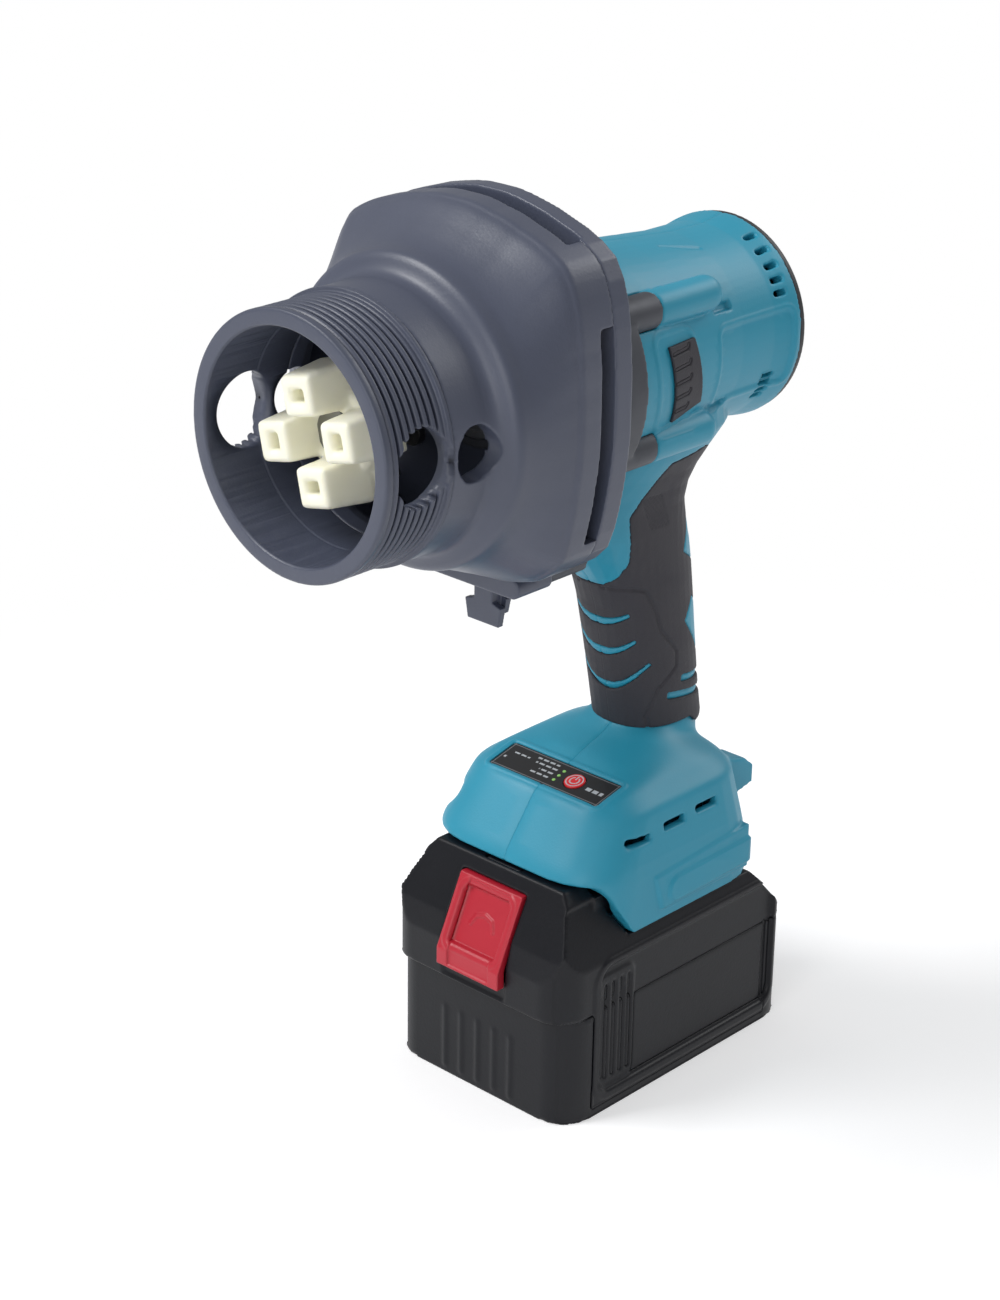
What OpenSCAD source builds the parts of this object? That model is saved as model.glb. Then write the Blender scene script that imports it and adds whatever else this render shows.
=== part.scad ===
// Pistol-grip battery drive unit with a threaded front collar and a four-socket driver.
// Origin: centre of the underside of the battery pack. Front is -Y, up is +Z, units are mm.

/* [Layout] */
// Height of the drive axis above the surface that the pack stands on
axis_z = 231.5; // [226:0.5:237]
// Distance of the back plate's rear face in front of the pack centre
nose_y = 47.5; // [46:0.5:49]
// Distance of the motor barrel's rear rim behind the pack centre
barrel_rear_y = 53; // [51:0.5:55]

/* [Collar] */
// Radius of the open bore
bore_r = 32.75; // [31:0.25:34]
// Radius over the smooth lip and the thread crests
collar_r = 38; // [37:0.25:39]
// Length from the mouth to the rear rim
collar_l = 24; // [22:0.5:26]
// Length of the smooth lip at the mouth
lip_l = 4.4; // [3.5:0.1:6]
// Pitch of the thread ridges
thread_pitch = 2.5; // [2:0.1:3]
// Depth of the thread ridges
thread_h = 1.3; // [0.8:0.1:1.6]
// Number of thread ridges
thread_n = 7; // [5:1:8]
// Diameter of the windows through the thread
window_d = 19.5; // [16:0.5:21]
// Length of the spigot that seats in the cover's neck
spigot_l = 6; // [4:0.5:7]

/* [Front cover] */
// Half width of the cover
cover_hw = 48.7; // [47:0.1:51]
// Half height of the cover
cover_hh = 54.3; // [53:0.1:56]
// Height of the cover's centre above the drive axis
cover_rise = 3; // [1:0.5:4]
// Radius of the neck behind the collar
neck_r = 39; // [38.5:0.25:41]
// Length of the straight neck
neck_l = 10; // [8:0.5:12]
// Length of the domed front
dome_l = 28.6; // [25:0.2:31]
// Length of the straight skirt behind the ridge
skirt_l = 13.9; // [12:0.1:16]
// Wall of the cover
cover_wall = 3; // [2.5:0.1:3.5]
// Width of the slots between the skirt and the back plate
slot_w = 4.9; // [3:0.1:6]
// Diameter of the round windows in the neck
neck_window_d = 14.5; // [12:0.5:16]

/* [Back plate] */
// Thickness of the back plate
plate_t = 7; // [6:0.5:8]
// Half width of the chin under the cover
chin_hw = 21; // [18:0.5:24]
// Height of the chin below the cover
chin_h = 6.4; // [5:0.2:8]
// Forward reach of the chin past the back plate
chin_reach = 7.4; // [5:0.2:9]
// Height of the hook that hangs below the chin
hook_h = 14.6; // [12:0.2:18]
// Width across the foot of the hook
hook_w = 14.5; // [13:0.5:18]

/* [Gear case] */
// Outer radius of the gear case
case_r = 38.5; // [38:0.25:40]
// Length of the gear case behind the back plate
case_l = 19.5; // [18:0.5:21]
// Thickness of the gear case's front wall
case_wall = 3.5; // [3:0.1:4]
// Radius of the screw lugs
lug_r = 5.5; // [5:0.1:6]
// Reach of the lugs behind the gear case
lug_l = 12; // [9:0.5:14]
// Sideways distance of the lugs from the drive axis
lug_x = 27.3; // [26.5:0.1:28.5]
// Vertical distance of the lugs from the drive axis
lug_z = 20.3; // [19.5:0.1:21.5]
// Length of the spigot that locates the gear case in the housing
case_spigot_l = 7; // [5:0.5:8]

/* [Epicyclic gears] */
// Gear module
gear_m = 1; // [0.95:0.01:1.02]
// Teeth on the sun gear
sun_teeth = 12; // [12:12:12]
// Teeth on each planet gear
planet_teeth = 18; // [18:18:18]
// Width of the gear teeth
gear_w = 8.8; // [7:0.1:9.2]
// Clearance taken off each tooth flank
flank_gap = 0.12; // [0.05:0.01:0.2]
// Radius of the planet pins
pin_r = 2.5; // [2:0.1:3]
// Thickness of the planet carrier
carrier_t = 3.4; // [3:0.1:3.4]

/* [Shafts and bearings] */
// Radius of the output shaft
output_r = 6; // [5.5:0.1:6.5]
// Outer radius of the output bearing
output_bearing_r = 14; // [13:0.1:15]
// Width of the output bearing
output_bearing_w = 8; // [7:0.1:9]
// Radius of the rotor shaft
rotor_r = 4; // [3.5:0.1:4.2]
// Outer radius of the rotor bearings
rotor_bearing_r = 11; // [10:0.1:12]
// Width of the rotor bearings
rotor_bearing_w = 7; // [6:0.1:7]
// Radial running clearance of shafts and pins
run_gap = 0.05; // [0.02:0.01:0.1]

/* [Socket driver] */
// Distance of the post faces behind the collar's mouth
driver_inset = 6.5; // [4:0.5:9]
// Radius of the circle that the posts stand on
post_circle_r = 12.6; // [12:0.1:13.4]
// Width of a post at its face
post_w = 10.4; // [9:0.1:11]
// Width of a post at its root
post_root_w = 13; // [12:0.1:14]
// Length of a post
post_l = 19; // [16:0.5:21]
// Width of a post's socket
socket_w = 4.6; // [4:0.1:5.5]
// Height of a post's socket
socket_h = 5.8; // [4.5:0.1:6]
// Depth of a post's socket
socket_depth = 9; // [6:0.5:11]
// Radius over the outside of the driver
driver_r = 20.4; // [19.5:0.1:21.5]
// Thickness of the driver's web
web_t = 6; // [5:0.5:7]
// Turn of the driver at rest
driver_turn = 12.8; // [0:0.1:44]

/* [Motor barrel] */
// Radius of the barrel's waist
barrel_r = 30.4; // [30.2:0.1:31]
// Radius of the barrel at its rear rim
barrel_rim_r = 31.9; // [31.5:0.1:32.5]
// Radius of the housing behind the gear case
shoulder_r = 35; // [34.5:0.1:36]
// Wall of the motor barrel round the stator
barrel_wall = 4.8; // [4.6:0.1:5.4]
// Length of the stator
stator_l = 38; // [34:0.5:39]
// Radius of the rotor core, as a share of the stator's
rotor_share = 0.5625; // [0.5:0.01:0.57]
// Gap round the cooling fan
fan_rim_gap = 2; // [1.6:0.1:4]
// Number of fan blades
fan_blades = 11; // [9:1:13]
// Thickness of the rear cap
cap_t = 3; // [2.5:0.1:4]

/* [Grip] */
// Half width of the grip
grip_hw = 15.6; // [15:0.1:16.5]
// Half length of the grip, front to back
grip_hl = 17.8; // [17:0.1:19]
// Lean of the grip from the vertical
grip_lean = 10.2; // [9:0.1:11]
// Height at which the grip leaves the foot
grip_z = 106; // [104:0.5:108]
// Distance of the grip's lower end behind the pack centre
grip_y = 22; // [20:0.5:24]
// Thickness of the soft overmould
mould_t = 1.8; // [1.4:0.1:2.2]
// Wall of the housing shells
shell_t = 2.6; // [2.2:0.1:3]

/* [Foot] */
// Half width of the foot
foot_hw = 37.4; // [36.5:0.1:38.4]
// Reach of the foot in front of the pack centre
foot_front = 44.6; // [43:0.1:46]
// Reach of the foot behind the pack centre
foot_rear = 40.5; // [39:0.1:42]
// Length of the control panel across the foot
panel_l = 45; // [40:0.5:47]
// Width of the control panel
panel_w = 12.6; // [11:0.1:14]
// Slope of the control panel
panel_slope = 13; // [10:0.5:16]
// Radius of the power button
button_r = 4.2; // [3.6:0.1:4.8]
// Travel of the power button
button_travel = 0.6; // [0.4:0.1:0.8]

/* [Battery pack] */
// Width of the pack
pack_w = 75.6; // [74.6:0.1:77]
// Length of the pack
pack_l = 109.2; // [107:0.1:112]
// Height of the pack's side walls
pack_h = 57.2; // [56:0.1:58]
// Height of the joint between the lower and the upper case
split_z = 36; // [33:0.5:38]
// Height of the front hump
hump_z = 75.6; // [74:0.1:76.5]
// Wall of the pack's case
pack_wall = 2.4; // [2:0.1:2.6]
// Radius of the pack's upright corners
pack_corner_r = 11; // [8:0.5:14]
// Radius of a battery cell
cell_r = 9.15; // [9:0.05:9.2]
// Space beyond the ends of the cells
cell_end_gap = 2.5; // [2:0.1:3]
// Half width of the pack's slide rail
rail_hw = 27; // [25:0.5:29]
// Width of the release button
release_w = 26; // [22:0.5:28]
// Travel of the release button
release_travel = 4; // [3:0.5:4.5]

/* [Hidden] */
$fn = 64;

// Overrun of every cut past the face that it opens
cut = 1;
// Gap between faces that seat on each other
seat_gap = 0.1;
// Gap between pieces that slide or turn past each other
slide_gap = 0.35;

// Depths along the drive axis, the front is negative
case_y = -nose_y;
plate_y = case_y - plate_t;
ridge_y = plate_y - skirt_l;
neck_end_y = ridge_y - dome_l;
neck_y = neck_end_y - neck_l;
mouth_y = neck_y - collar_l;
driver_y = mouth_y + driver_inset;
case_rear_y = case_y + case_l;
spigot_rear_y = case_rear_y + case_spigot_l;
lug_rear_y = case_rear_y + lug_l;
carrier_gap = 0.3;
carrier_y = case_y + case_wall + carrier_gap;
ring_y = carrier_y + carrier_t + carrier_gap;
ring_l = gear_w + 4 * carrier_gap;
gear_y = ring_y + 2 * carrier_gap;
motor_plate_y = ring_y + ring_l;
bearing_lip = 1.2;
motor_plate_t = rotor_bearing_w + bearing_lip;
cap_y = barrel_rear_y - cap_t;
cap_boss_l = rotor_bearing_w + bearing_lip;
fan_gap = 1.2;
fan_l = 7;
fan_y = cap_y - cap_boss_l - fan_gap - fan_l;
winding_l = 4;
stator_y = fan_y - fan_gap - winding_l - stator_l;
boss_l = 12.5;
boss_wall = 3;
boss_r = output_bearing_r + boss_wall;

// Radii of the gear train and of the case around it
addendum_share = 0.85;
dedendum_share = 1.1;
ring_teeth = sun_teeth + 2 * planet_teeth;
planet_circle_r = gear_m * (sun_teeth + planet_teeth) / 2;
ring_rim = 2.9;
ring_outer_r = gear_m * (ring_teeth / 2 + dedendum_share) + ring_rim;
case_spigot_r = ring_outer_r + case_wall;

// Moves a shape drawn along +Z onto the drive axis, its base at depth y and its top to the rear
module on_axis(y) {
    translate([0, y, axis_z]) rotate([-90, 0, 0]) children();
}

// Extrudes a drawing of the XZ plane from depth y towards the front
module front_view(y, t) {
    translate([0, y, 0]) rotate([90, 0, 0]) linear_extrude(t) children();
}

// Extrudes a drawing of the YZ plane from x towards the right
module side_view(x, t) {
    translate([x, 0, 0]) rotate([90, 0, 90]) linear_extrude(t) children();
}

// Closed skin over rings of points, the rings run upwards and each runs anticlockwise
module skin(rings) {
    n = len(rings[0]);
    top = n * (len(rings) - 1);
    points = [for (ring = rings) each ring];
    walls = [
        for (k = [0:len(rings) - 2])
            for (i = [0:n - 1])
                let (a = k * n + i, b = k * n + (i + 1) % n)
                    each [[a, a + n, b + n], [a, b + n, b]]
    ];
    base = [[for (i = [0:n - 1]) i]];
    lid = [[for (i = [n - 1:-1:0]) top + i]];
    polyhedron(points, concat(base, walls, lid), convexity = 6);
}

// Distance from the centre to a superellipse in direction a
function squircle_r(a, hw, hh, e) =
    pow(pow(abs(cos(a)) / hw, e) + pow(abs(sin(a)) / hh, e), -1 / e);

// Point of a cubic Bezier curve
function bezier(p, t) =
    pow(1 - t, 3) * p[0] + 3 * pow(1 - t, 2) * t * p[1] + 3 * (1 - t) * t * t * p[2] + pow(t, 3) * p[3];

// Threaded collar
collar_root_r = collar_r - thread_h;
spigot_r = collar_root_r - thread_h;
rim_l = collar_l - lip_l - thread_n * thread_pitch;
rim_r = collar_r + thread_h;
window_y = mouth_y + lip_l + window_d / 2 + seat_gap;
edge_r = 0.8;

function ridge_profile(z) = [
    [collar_root_r, z],
    [collar_r, z + 0.3 * thread_pitch],
    [collar_r, z + 0.62 * thread_pitch],
    [collar_root_r, z + 0.92 * thread_pitch]
];

module collar_body() {
    profile = concat(
        [[bore_r + edge_r, 0], [collar_r - edge_r, 0], [collar_r, edge_r], [collar_r, lip_l]],
        [for (i = [0:thread_n - 1]) each ridge_profile(lip_l + i * thread_pitch)],
        [
            [collar_root_r, collar_l - rim_l],
            [rim_r, collar_l - rim_l],
            [rim_r, collar_l],
            [spigot_r, collar_l],
            [spigot_r, collar_l + spigot_l],
            [bore_r, collar_l + spigot_l],
            [bore_r, edge_r]
        ]
    );
    on_axis(mouth_y) rotate_extrude() polygon(profile);
}

// A round cut through both side walls
module side_window(y, d) {
    translate([0, y, axis_z]) rotate([0, 90, 0]) cylinder(h = 4 * collar_r, d = d, center = true);
}

neck_window_y = neck_y + neck_window_d / 2 + 2 * edge_r;

module threaded_collar() color("#4b4e58") {
    difference() {
        collar_body();
        side_window(window_y, window_d);
        side_window(neck_window_y, neck_window_d);
    }
}

// Front cover
ridge_step = 1.1;
ridge_round = 1.6;
cover_rings = 10;
cover_points = 60;
dome_shares = [[0, 0], [0.51, 0], [0.74, 1], [1, 1]];
// Outline of the cover: direction from the side towards the top, reach in that direction
cover_shares = [
    [-90, 1], [-74, 1.03], [-61, 1.095], [-53, 1.14], [-46, 1.158], [-41, 1.157], [-32, 1.095],
    [-21, 1.04], [-9, 1.012], [0, 1.005], [9, 1.012], [20, 1.05], [33, 1.125], [39, 1.148],
    [43, 1.152], [49, 1.118], [61, 1.05], [74, 1.012], [90, 1]
];

// Point of the cover's outline in direction a, drawn with the top towards the negative
function cover_point(a, inset) =
    let (r = lookup(atan2(-sin(a), abs(cos(a))), cover_shares))
        [(cover_hw - inset) * r * cos(a), (cover_hh - inset) * r * sin(a)];

// Ring of the cover, s blends from the round neck to the full outline, all walls inset
function cover_ring(z, s, inset, round_r) = [
    for (i = [0:cover_points - 1])
        let (a = 360 * i / cover_points, p = (1 - s) * round_r * [cos(a), sin(a)] + s * cover_point(a, inset))
            [p[0], p[1] - s * cover_rise, z]
];

function dome_rings(z, inset, round_r) = [
    for (i = [1:cover_rings])
        let (p = bezier(dome_shares, i / cover_rings))
            cover_ring(z + p[0] * dome_l, p[1], inset, round_r)
];

module cover_outside() {
    ridge_z = neck_l + dome_l;
    skin(concat(
        [cover_ring(0, 0, 0, neck_r), cover_ring(neck_l, 0, 0, neck_r)],
        dome_rings(neck_l, ridge_step, neck_r),
        [
            cover_ring(ridge_z + ridge_round / 3, 1, ridge_step / 4, neck_r),
            cover_ring(ridge_z + ridge_round, 1, 0, neck_r),
            cover_ring(ridge_z + skirt_l, 1, 0, neck_r)
        ]
    ));
}

module cover_inside() {
    skin(concat(
        [cover_ring(-cut, 0, 0, bore_r), cover_ring(neck_l + cover_wall / 2, 0, 0, bore_r)],
        dome_rings(neck_l + cover_wall / 2, cover_wall + ridge_step, bore_r),
        [cover_ring(neck_l + dome_l + skirt_l + cut, 1, cover_wall, bore_r)]
    ));
}

// Places of the corner screws, as shares of the cover's half sizes
corner_screw_shares = [0.74, 0.7];
corner_screw_x = corner_screw_shares[0] * cover_hw;
corner_screw_z = corner_screw_shares[1] * cover_hh;
corner_boss_r = 5;
corner_boss_l = 12;
small_screw_r = 1.5;
small_head_r = 3;
small_head_t = 2;

module at_cover_corners() {
    for (x = [-1, 1], z = [-1, 1]) {
        translate([x * corner_screw_x, z * corner_screw_z - cover_rise, 0]) children();
    }
}

slot_half_share = 0.72;
slot_low_share = 0.7;
slot_high_share = 0.46;

module cover_slots() {
    slot_z = -slot_w;
    top_hw = slot_half_share * cover_hw;
    translate([-top_hw, -2 * cover_hh, slot_z]) cube([2 * top_hw, 1.5 * cover_hh, slot_w + cut]);
    high = slot_high_share * cover_hh;
    low = slot_low_share * cover_hh;
    translate([-2 * cover_hw, -high - cover_rise, slot_z]) cube([4 * cover_hw, high + low, slot_w + cut]);
}

module front_cover() color("#4b4e58") {
    difference() {
        union() {
            difference() {
                on_axis(neck_y) cover_outside();
                on_axis(neck_y) cover_inside();
                on_axis(plate_y) cover_slots();
            }
            on_axis(plate_y - corner_boss_l) at_cover_corners()
                cylinder(h = corner_boss_l, r = corner_boss_r);
        }
        on_axis(plate_y - corner_boss_l + cut) at_cover_corners()
            cylinder(h = corner_boss_l, r = small_screw_r);
        on_axis(neck_y - cut) cylinder(h = spigot_l + cut + seat_gap, r = spigot_r + run_gap);
        side_window(neck_window_y, neck_window_d);
    }
}

module cover_screws() color("silver") {
    on_axis(plate_y - corner_boss_l + 2 * cut) at_cover_corners() {
        cylinder(h = corner_boss_l + plate_t - 2 * cut, r = small_screw_r);
        translate([0, 0, corner_boss_l + plate_t - 2 * cut]) cylinder(h = small_head_t, r = small_head_r);
    }
}

// Back plate
case_screw_r = 2;
case_head_r = 3.6;
case_head_t = 2.6;
plate_corner_r = 3;

module at_lugs() {
    for (x = [-1, 1], z = [-1, 1]) {
        translate([x * lug_x, z * lug_z, 0]) children();
    }
}

chin_top_z = axis_z + cover_rise - cover_hh - slide_gap;
chin_z = chin_top_z - chin_h;

module chin_outline(h) {
    translate([0, chin_z]) offset(plate_corner_r) offset(-plate_corner_r)
        translate([-chin_hw, 0]) square([2 * chin_hw, h]);
}

module back_plate() color("#4b4e58") {
    outline = [
        for (i = [0:cover_points - 1]) cover_point(360 * i / cover_points, 0) - [0, cover_rise]
    ];
    difference() {
        union() {
            on_axis(plate_y) linear_extrude(plate_t) polygon(outline);
            front_view(case_y, plate_t) chin_outline(2 * chin_h);
            front_view(plate_y + cut, chin_reach + cut) chin_outline(chin_h);
        }
        on_axis(plate_y - cut) cylinder(h = plate_t + 2 * cut, r = boss_r + seat_gap);
        on_axis(plate_y - cut) at_lugs() cylinder(h = plate_t + 2 * cut, r = case_screw_r + run_gap);
        on_axis(plate_y - cut) at_cover_corners() cylinder(h = plate_t + 2 * cut, r = small_screw_r + run_gap);
    }
}

// Hook
hook_plate_t = 2.2;
hook_web_t = 1.8;
hook_stem_hw = 3.6;
hook_y = case_y - edge_r;

module hook_outline(hw, h) {
    top_z = chin_z;
    foot_z = chin_z - h;
    ear_z = foot_z + 0.42 * h;
    polygon([
        [-hook_stem_hw, top_z], [-hook_stem_hw, ear_z + hook_plate_t / 2], [-hw, ear_z],
        [-hw + hook_plate_t / 2, foot_z], [hw - hook_plate_t / 2, foot_z], [hw, ear_z],
        [hook_stem_hw, ear_z + hook_plate_t / 2], [hook_stem_hw, top_z]
    ]);
}

module hook_clip() color("#5b5e67") {
    front_y = hook_y - hook_plate_t - hook_web_t;
    front_view(front_y, hook_plate_t) hook_outline(hook_w / 2, hook_h);
    front_view(hook_y, hook_plate_t) hook_outline(0.4 * hook_w, 0.8 * hook_h);
    front_view(hook_y, 2 * hook_plate_t + hook_web_t)
        translate([-hook_stem_hw, chin_z - 0.7 * hook_h]) square([2 * hook_stem_hw, 0.7 * hook_h]);
}

// Gear case
case_nose_hw = 18;
case_nose_z = chin_z - edge_r;
case_nose_l = case_l - edge_r;

module case_nose() {
    front_view(case_y + case_nose_l, case_nose_l) offset(plate_corner_r) offset(-plate_corner_r)
        translate([-case_nose_hw, case_nose_z]) square([2 * case_nose_hw, axis_z - case_nose_z - boss_r]);
}

module gear_case() color("#3f4149") {
    difference() {
        union() {
            on_axis(case_y) cylinder(h = case_l, r = case_r);
            on_axis(case_y) cylinder(h = case_l + case_spigot_l, r = case_spigot_r);
            on_axis(case_y - boss_l) cylinder(h = boss_l + cut, r = boss_r);
            on_axis(case_y) at_lugs() cylinder(h = case_l + lug_l, r = lug_r);
            case_nose();
        }
        on_axis(case_y + case_wall) cylinder(h = case_l + case_spigot_l, r = ring_outer_r);
        on_axis(case_y - boss_l - cut) cylinder(h = output_bearing_w + cut, r = output_bearing_r);
        on_axis(case_y - boss_l) cylinder(h = boss_l + 2 * case_wall, r = output_r + boss_wall);
        on_axis(case_y - cut) at_lugs() cylinder(h = case_l + lug_l + 2 * cut, r = case_screw_r + run_gap);
    }
}

case_screw_l = plate_t + case_l + lug_l + 2 * lug_r;

module gear_case_screws() color("silver") {
    on_axis(plate_y - case_head_t) at_lugs() {
        cylinder(h = case_head_t, r = case_head_r);
        cylinder(h = case_head_t + case_screw_l, r = case_screw_r);
    }
}

// Epicyclic gears
pressure_angle = 20;
flank_steps = 4;

// Involute of a base circle of radius rb after a roll of t degrees
function involute(rb, t) = rb * [cos(t) + t * PI / 180 * sin(t), sin(t) - t * PI / 180 * cos(t)];

// Roll angle at which an involute reaches radius r
function roll(rb, r) = 180 / PI * sqrt(max(0, pow(r / rb, 2) - 1));

function turned(p, a) = [p[0] * cos(a) - p[1] * sin(a), p[0] * sin(a) + p[1] * cos(a)];

// Outline of a gear with teeth centred on angle 0, low and high are its inner and outer radii,
// gap is taken off each flank
function gear_outline(teeth, low, high, gap) =
    let (
        pitch_r = gear_m * teeth / 2,
        rb = pitch_r * cos(pressure_angle),
        lean = tan(pressure_angle) * 180 / PI - pressure_angle,
        half = 90 / teeth + lean - gap / pitch_r * 180 / PI,
        from = roll(rb, max(low, rb)),
        to = roll(rb, high)
    )
    [
        for (k = [0:teeth - 1]) each concat(
            [turned([low, 0], 360 * k / teeth - half)],
            [for (i = [0:flank_steps])
                turned(involute(rb, from + (to - from) * i / flank_steps), 360 * k / teeth - half)],
            [for (i = [flank_steps:-1:0])
                let (p = involute(rb, from + (to - from) * i / flank_steps))
                    turned([p[0], -p[1]], 360 * k / teeth + half)],
            [turned([low, 0], 360 * k / teeth + half)]
        )
    ];

module spur_gear(teeth) {
    r = gear_m * teeth / 2;
    linear_extrude(gear_w)
        polygon(gear_outline(teeth, r - dedendum_share * gear_m, r + addendum_share * gear_m, flank_gap));
}

module ring_gear() color("#8a8d92") {
    r = gear_m * ring_teeth / 2;
    half_tooth = 180 / ring_teeth;
    on_axis(ring_y) difference() {
        cylinder(h = ring_l, r = ring_outer_r);
        rotate(half_tooth) translate([0, 0, -cut]) linear_extrude(ring_l + 2 * cut)
            polygon(gear_outline(
                ring_teeth, r - addendum_share * gear_m, r + dedendum_share * gear_m, -flank_gap));
    }
}

module at_planet(i) {
    rotate(120 * i) translate([planet_circle_r, 0, 0]) children();
}

module planet_gear(i) {
    color("#9a9da2") on_axis(gear_y) at_planet(i) difference() {
        rotate(180 + 180 / planet_teeth) spur_gear(planet_teeth);
        translate([0, 0, -cut]) cylinder(h = gear_w + 2 * cut, r = pin_r + run_gap);
    }
}

module planet_gear_1() planet_gear(0);
module planet_gear_2() planet_gear(1);
module planet_gear_3() planet_gear(2);

carrier_r = planet_circle_r + 2 * pin_r;

module planet_carrier() color("#7d8086") {
    on_axis(carrier_y) difference() {
        cylinder(h = carrier_t, r = carrier_r);
        translate([0, 0, -cut]) cylinder(h = carrier_t + 2 * cut, r = output_r);
        for (i = [0:2]) at_planet(i) translate([0, 0, -cut]) cylinder(h = carrier_t + 2 * cut, r = pin_r);
    }
}

module planet_pins() color("silver") {
    on_axis(carrier_y) for (i = [0:2]) at_planet(i)
        cylinder(h = gear_y + gear_w - carrier_y, r = pin_r);
}

module sun_gear() color("#9a9da2") {
    on_axis(gear_y) difference() {
        spur_gear(sun_teeth);
        translate([0, 0, -cut]) cylinder(h = gear_w + 2 * cut, r = rotor_r);
    }
}

// A bearing drawn as its two races and the shield between them
module bearing(outer_r, inner_r, w) {
    race = (outer_r - inner_r) / 4;
    dish = w / 10;
    difference() {
        cylinder(h = w, r = outer_r);
        translate([0, 0, -cut]) cylinder(h = w + 2 * cut, r = inner_r + run_gap);
        for (z = [-cut, w - dish]) translate([0, 0, z]) difference() {
            cylinder(h = dish + cut, r = outer_r - race);
            translate([0, 0, -cut]) cylinder(h = dish + 3 * cut, r = inner_r + race);
        }
    }
}

module output_bearing() color("silver") {
    on_axis(case_y - boss_l) bearing(output_bearing_r, output_r, output_bearing_w);
}

module motor_plate() color("#8a8d92") {
    on_axis(motor_plate_y) difference() {
        cylinder(h = motor_plate_t, r = ring_outer_r);
        translate([0, 0, bearing_lip]) cylinder(h = motor_plate_t, r = rotor_bearing_r);
        translate([0, 0, -cut]) cylinder(h = motor_plate_t, r = rotor_r + boss_wall);
    }
}

module motor_bearing() color("silver") {
    on_axis(motor_plate_y + bearing_lip) bearing(rotor_bearing_r, rotor_r, rotor_bearing_w);
}

module rear_bearing() color("silver") {
    on_axis(cap_y - rotor_bearing_w) bearing(rotor_bearing_r, rotor_r, rotor_bearing_w);
}

// Output shaft, round in its bearing and six-sided in the driver's hub
shaft_front_y = driver_y + post_l - web_t;
hub_l = web_t + cover_wall;
shaft_flat_l = hub_l + 2 * cut;

module output_shaft() color("silver") {
    difference() {
        union() {
            on_axis(shaft_front_y + shaft_flat_l)
                cylinder(h = carrier_y + carrier_t - shaft_front_y - shaft_flat_l, r = output_r);
            on_axis(shaft_front_y) rotate(-driver_turn) cylinder(h = shaft_flat_l, r = output_r, $fn = 6);
        }
        on_axis(shaft_front_y - cut) cylinder(h = driver_screw_l, r = small_screw_r);
    }
}

// Socket driver
driver_screw_l = 14;
scallop_r = 7.4;

module post_face(w) {
    translate([-w / 2, -w / 2, 0]) cube([w, w, edge_r]);
}

module driver_post() {
    shift = (post_root_w - post_w) / 2;
    hull() {
        post_face(post_w);
        translate([shift / 2, 0, post_l - edge_r]) post_face(post_root_w);
    }
}

module socket_driver() color("#e3e0c6") {
    on_axis(driver_y) rotate(-driver_turn) difference() {
        intersection() {
            union() {
                for (i = [0:3]) rotate(90 * i) translate([post_circle_r, 0, 0]) driver_post();
                translate([0, 0, post_l - web_t]) cylinder(h = hub_l, r = post_circle_r);
            }
            cylinder(h = post_l + hub_l, r1 = driver_r - edge_r, r2 = driver_r + edge_r);
        }
        for (i = [0:3]) rotate(90 * i) {
            translate([post_circle_r - socket_w / 2, -socket_h / 2, -cut])
                cube([socket_w, socket_h, socket_depth + cut]);
            rotate(45) translate([driver_r, 0, -cut]) cylinder(h = post_l + 2 * hub_l, r = scallop_r);
        }
        translate([0, 0, post_l - web_t - cut]) cylinder(h = hub_l + 2 * cut, r = output_r, $fn = 6);
    }
}

module driver_screw() color("silver") {
    on_axis(shaft_front_y - small_head_t) cylinder(h = small_head_t, r = output_r + edge_r);
    on_axis(shaft_front_y - cut / 2) cylinder(h = driver_screw_l - cut, r = small_screw_r);
}

// Motor
rotor_front_y = gear_y;
magnet_t = 2.4;
magnet_n = 4;
air_gap = 0.45;
stator_r = barrel_r - barrel_wall;
rotor_core_r = rotor_share * stator_r;
stator_bore_r = rotor_core_r + air_gap;
tooth_n = 6;
tooth_w = 7;
stator_yoke = 3.6;
winding_w = 2.2;
core_slack_l = 2;

module rotor_shaft() color("silver") {
    on_axis(rotor_front_y) cylinder(h = cap_y - rotor_front_y - slide_gap, r = rotor_r);
}

module rotor_core() color("#55585e") {
    on_axis(stator_y + core_slack_l) difference() {
        cylinder(h = stator_l - 2 * core_slack_l, r = rotor_core_r - magnet_t);
        translate([0, 0, -cut]) cylinder(h = stator_l, r = rotor_r);
    }
}

module rotor_magnets() color("#6b6e75") {
    span = 360 / magnet_n - magnet_n;
    on_axis(stator_y + core_slack_l) for (i = [0:magnet_n - 1]) rotate(360 / magnet_n * i)
        rotate_extrude(angle = span)
            translate([rotor_core_r - magnet_t, 0]) square([magnet_t, stator_l - 2 * core_slack_l]);
}

module stator_tooth(w, l, from_r, to_r) {
    translate([from_r, -w / 2, 0]) cube([to_r - from_r, w, l]);
}

module stator_core() color("#6f7278") {
    on_axis(stator_y) difference() {
        union() {
            difference() {
                cylinder(h = stator_l, r = stator_r);
                translate([0, 0, -cut]) cylinder(h = stator_l + 2 * cut, r = stator_r - stator_yoke);
            }
            for (i = [0:tooth_n - 1]) rotate(360 / tooth_n * (i + 0.5))
                stator_tooth(tooth_w, stator_l, rotor_core_r, stator_r - stator_yoke / 2);
        }
        translate([0, 0, -cut]) cylinder(h = stator_l + 2 * cut, r = stator_bore_r);
    }
}

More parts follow.
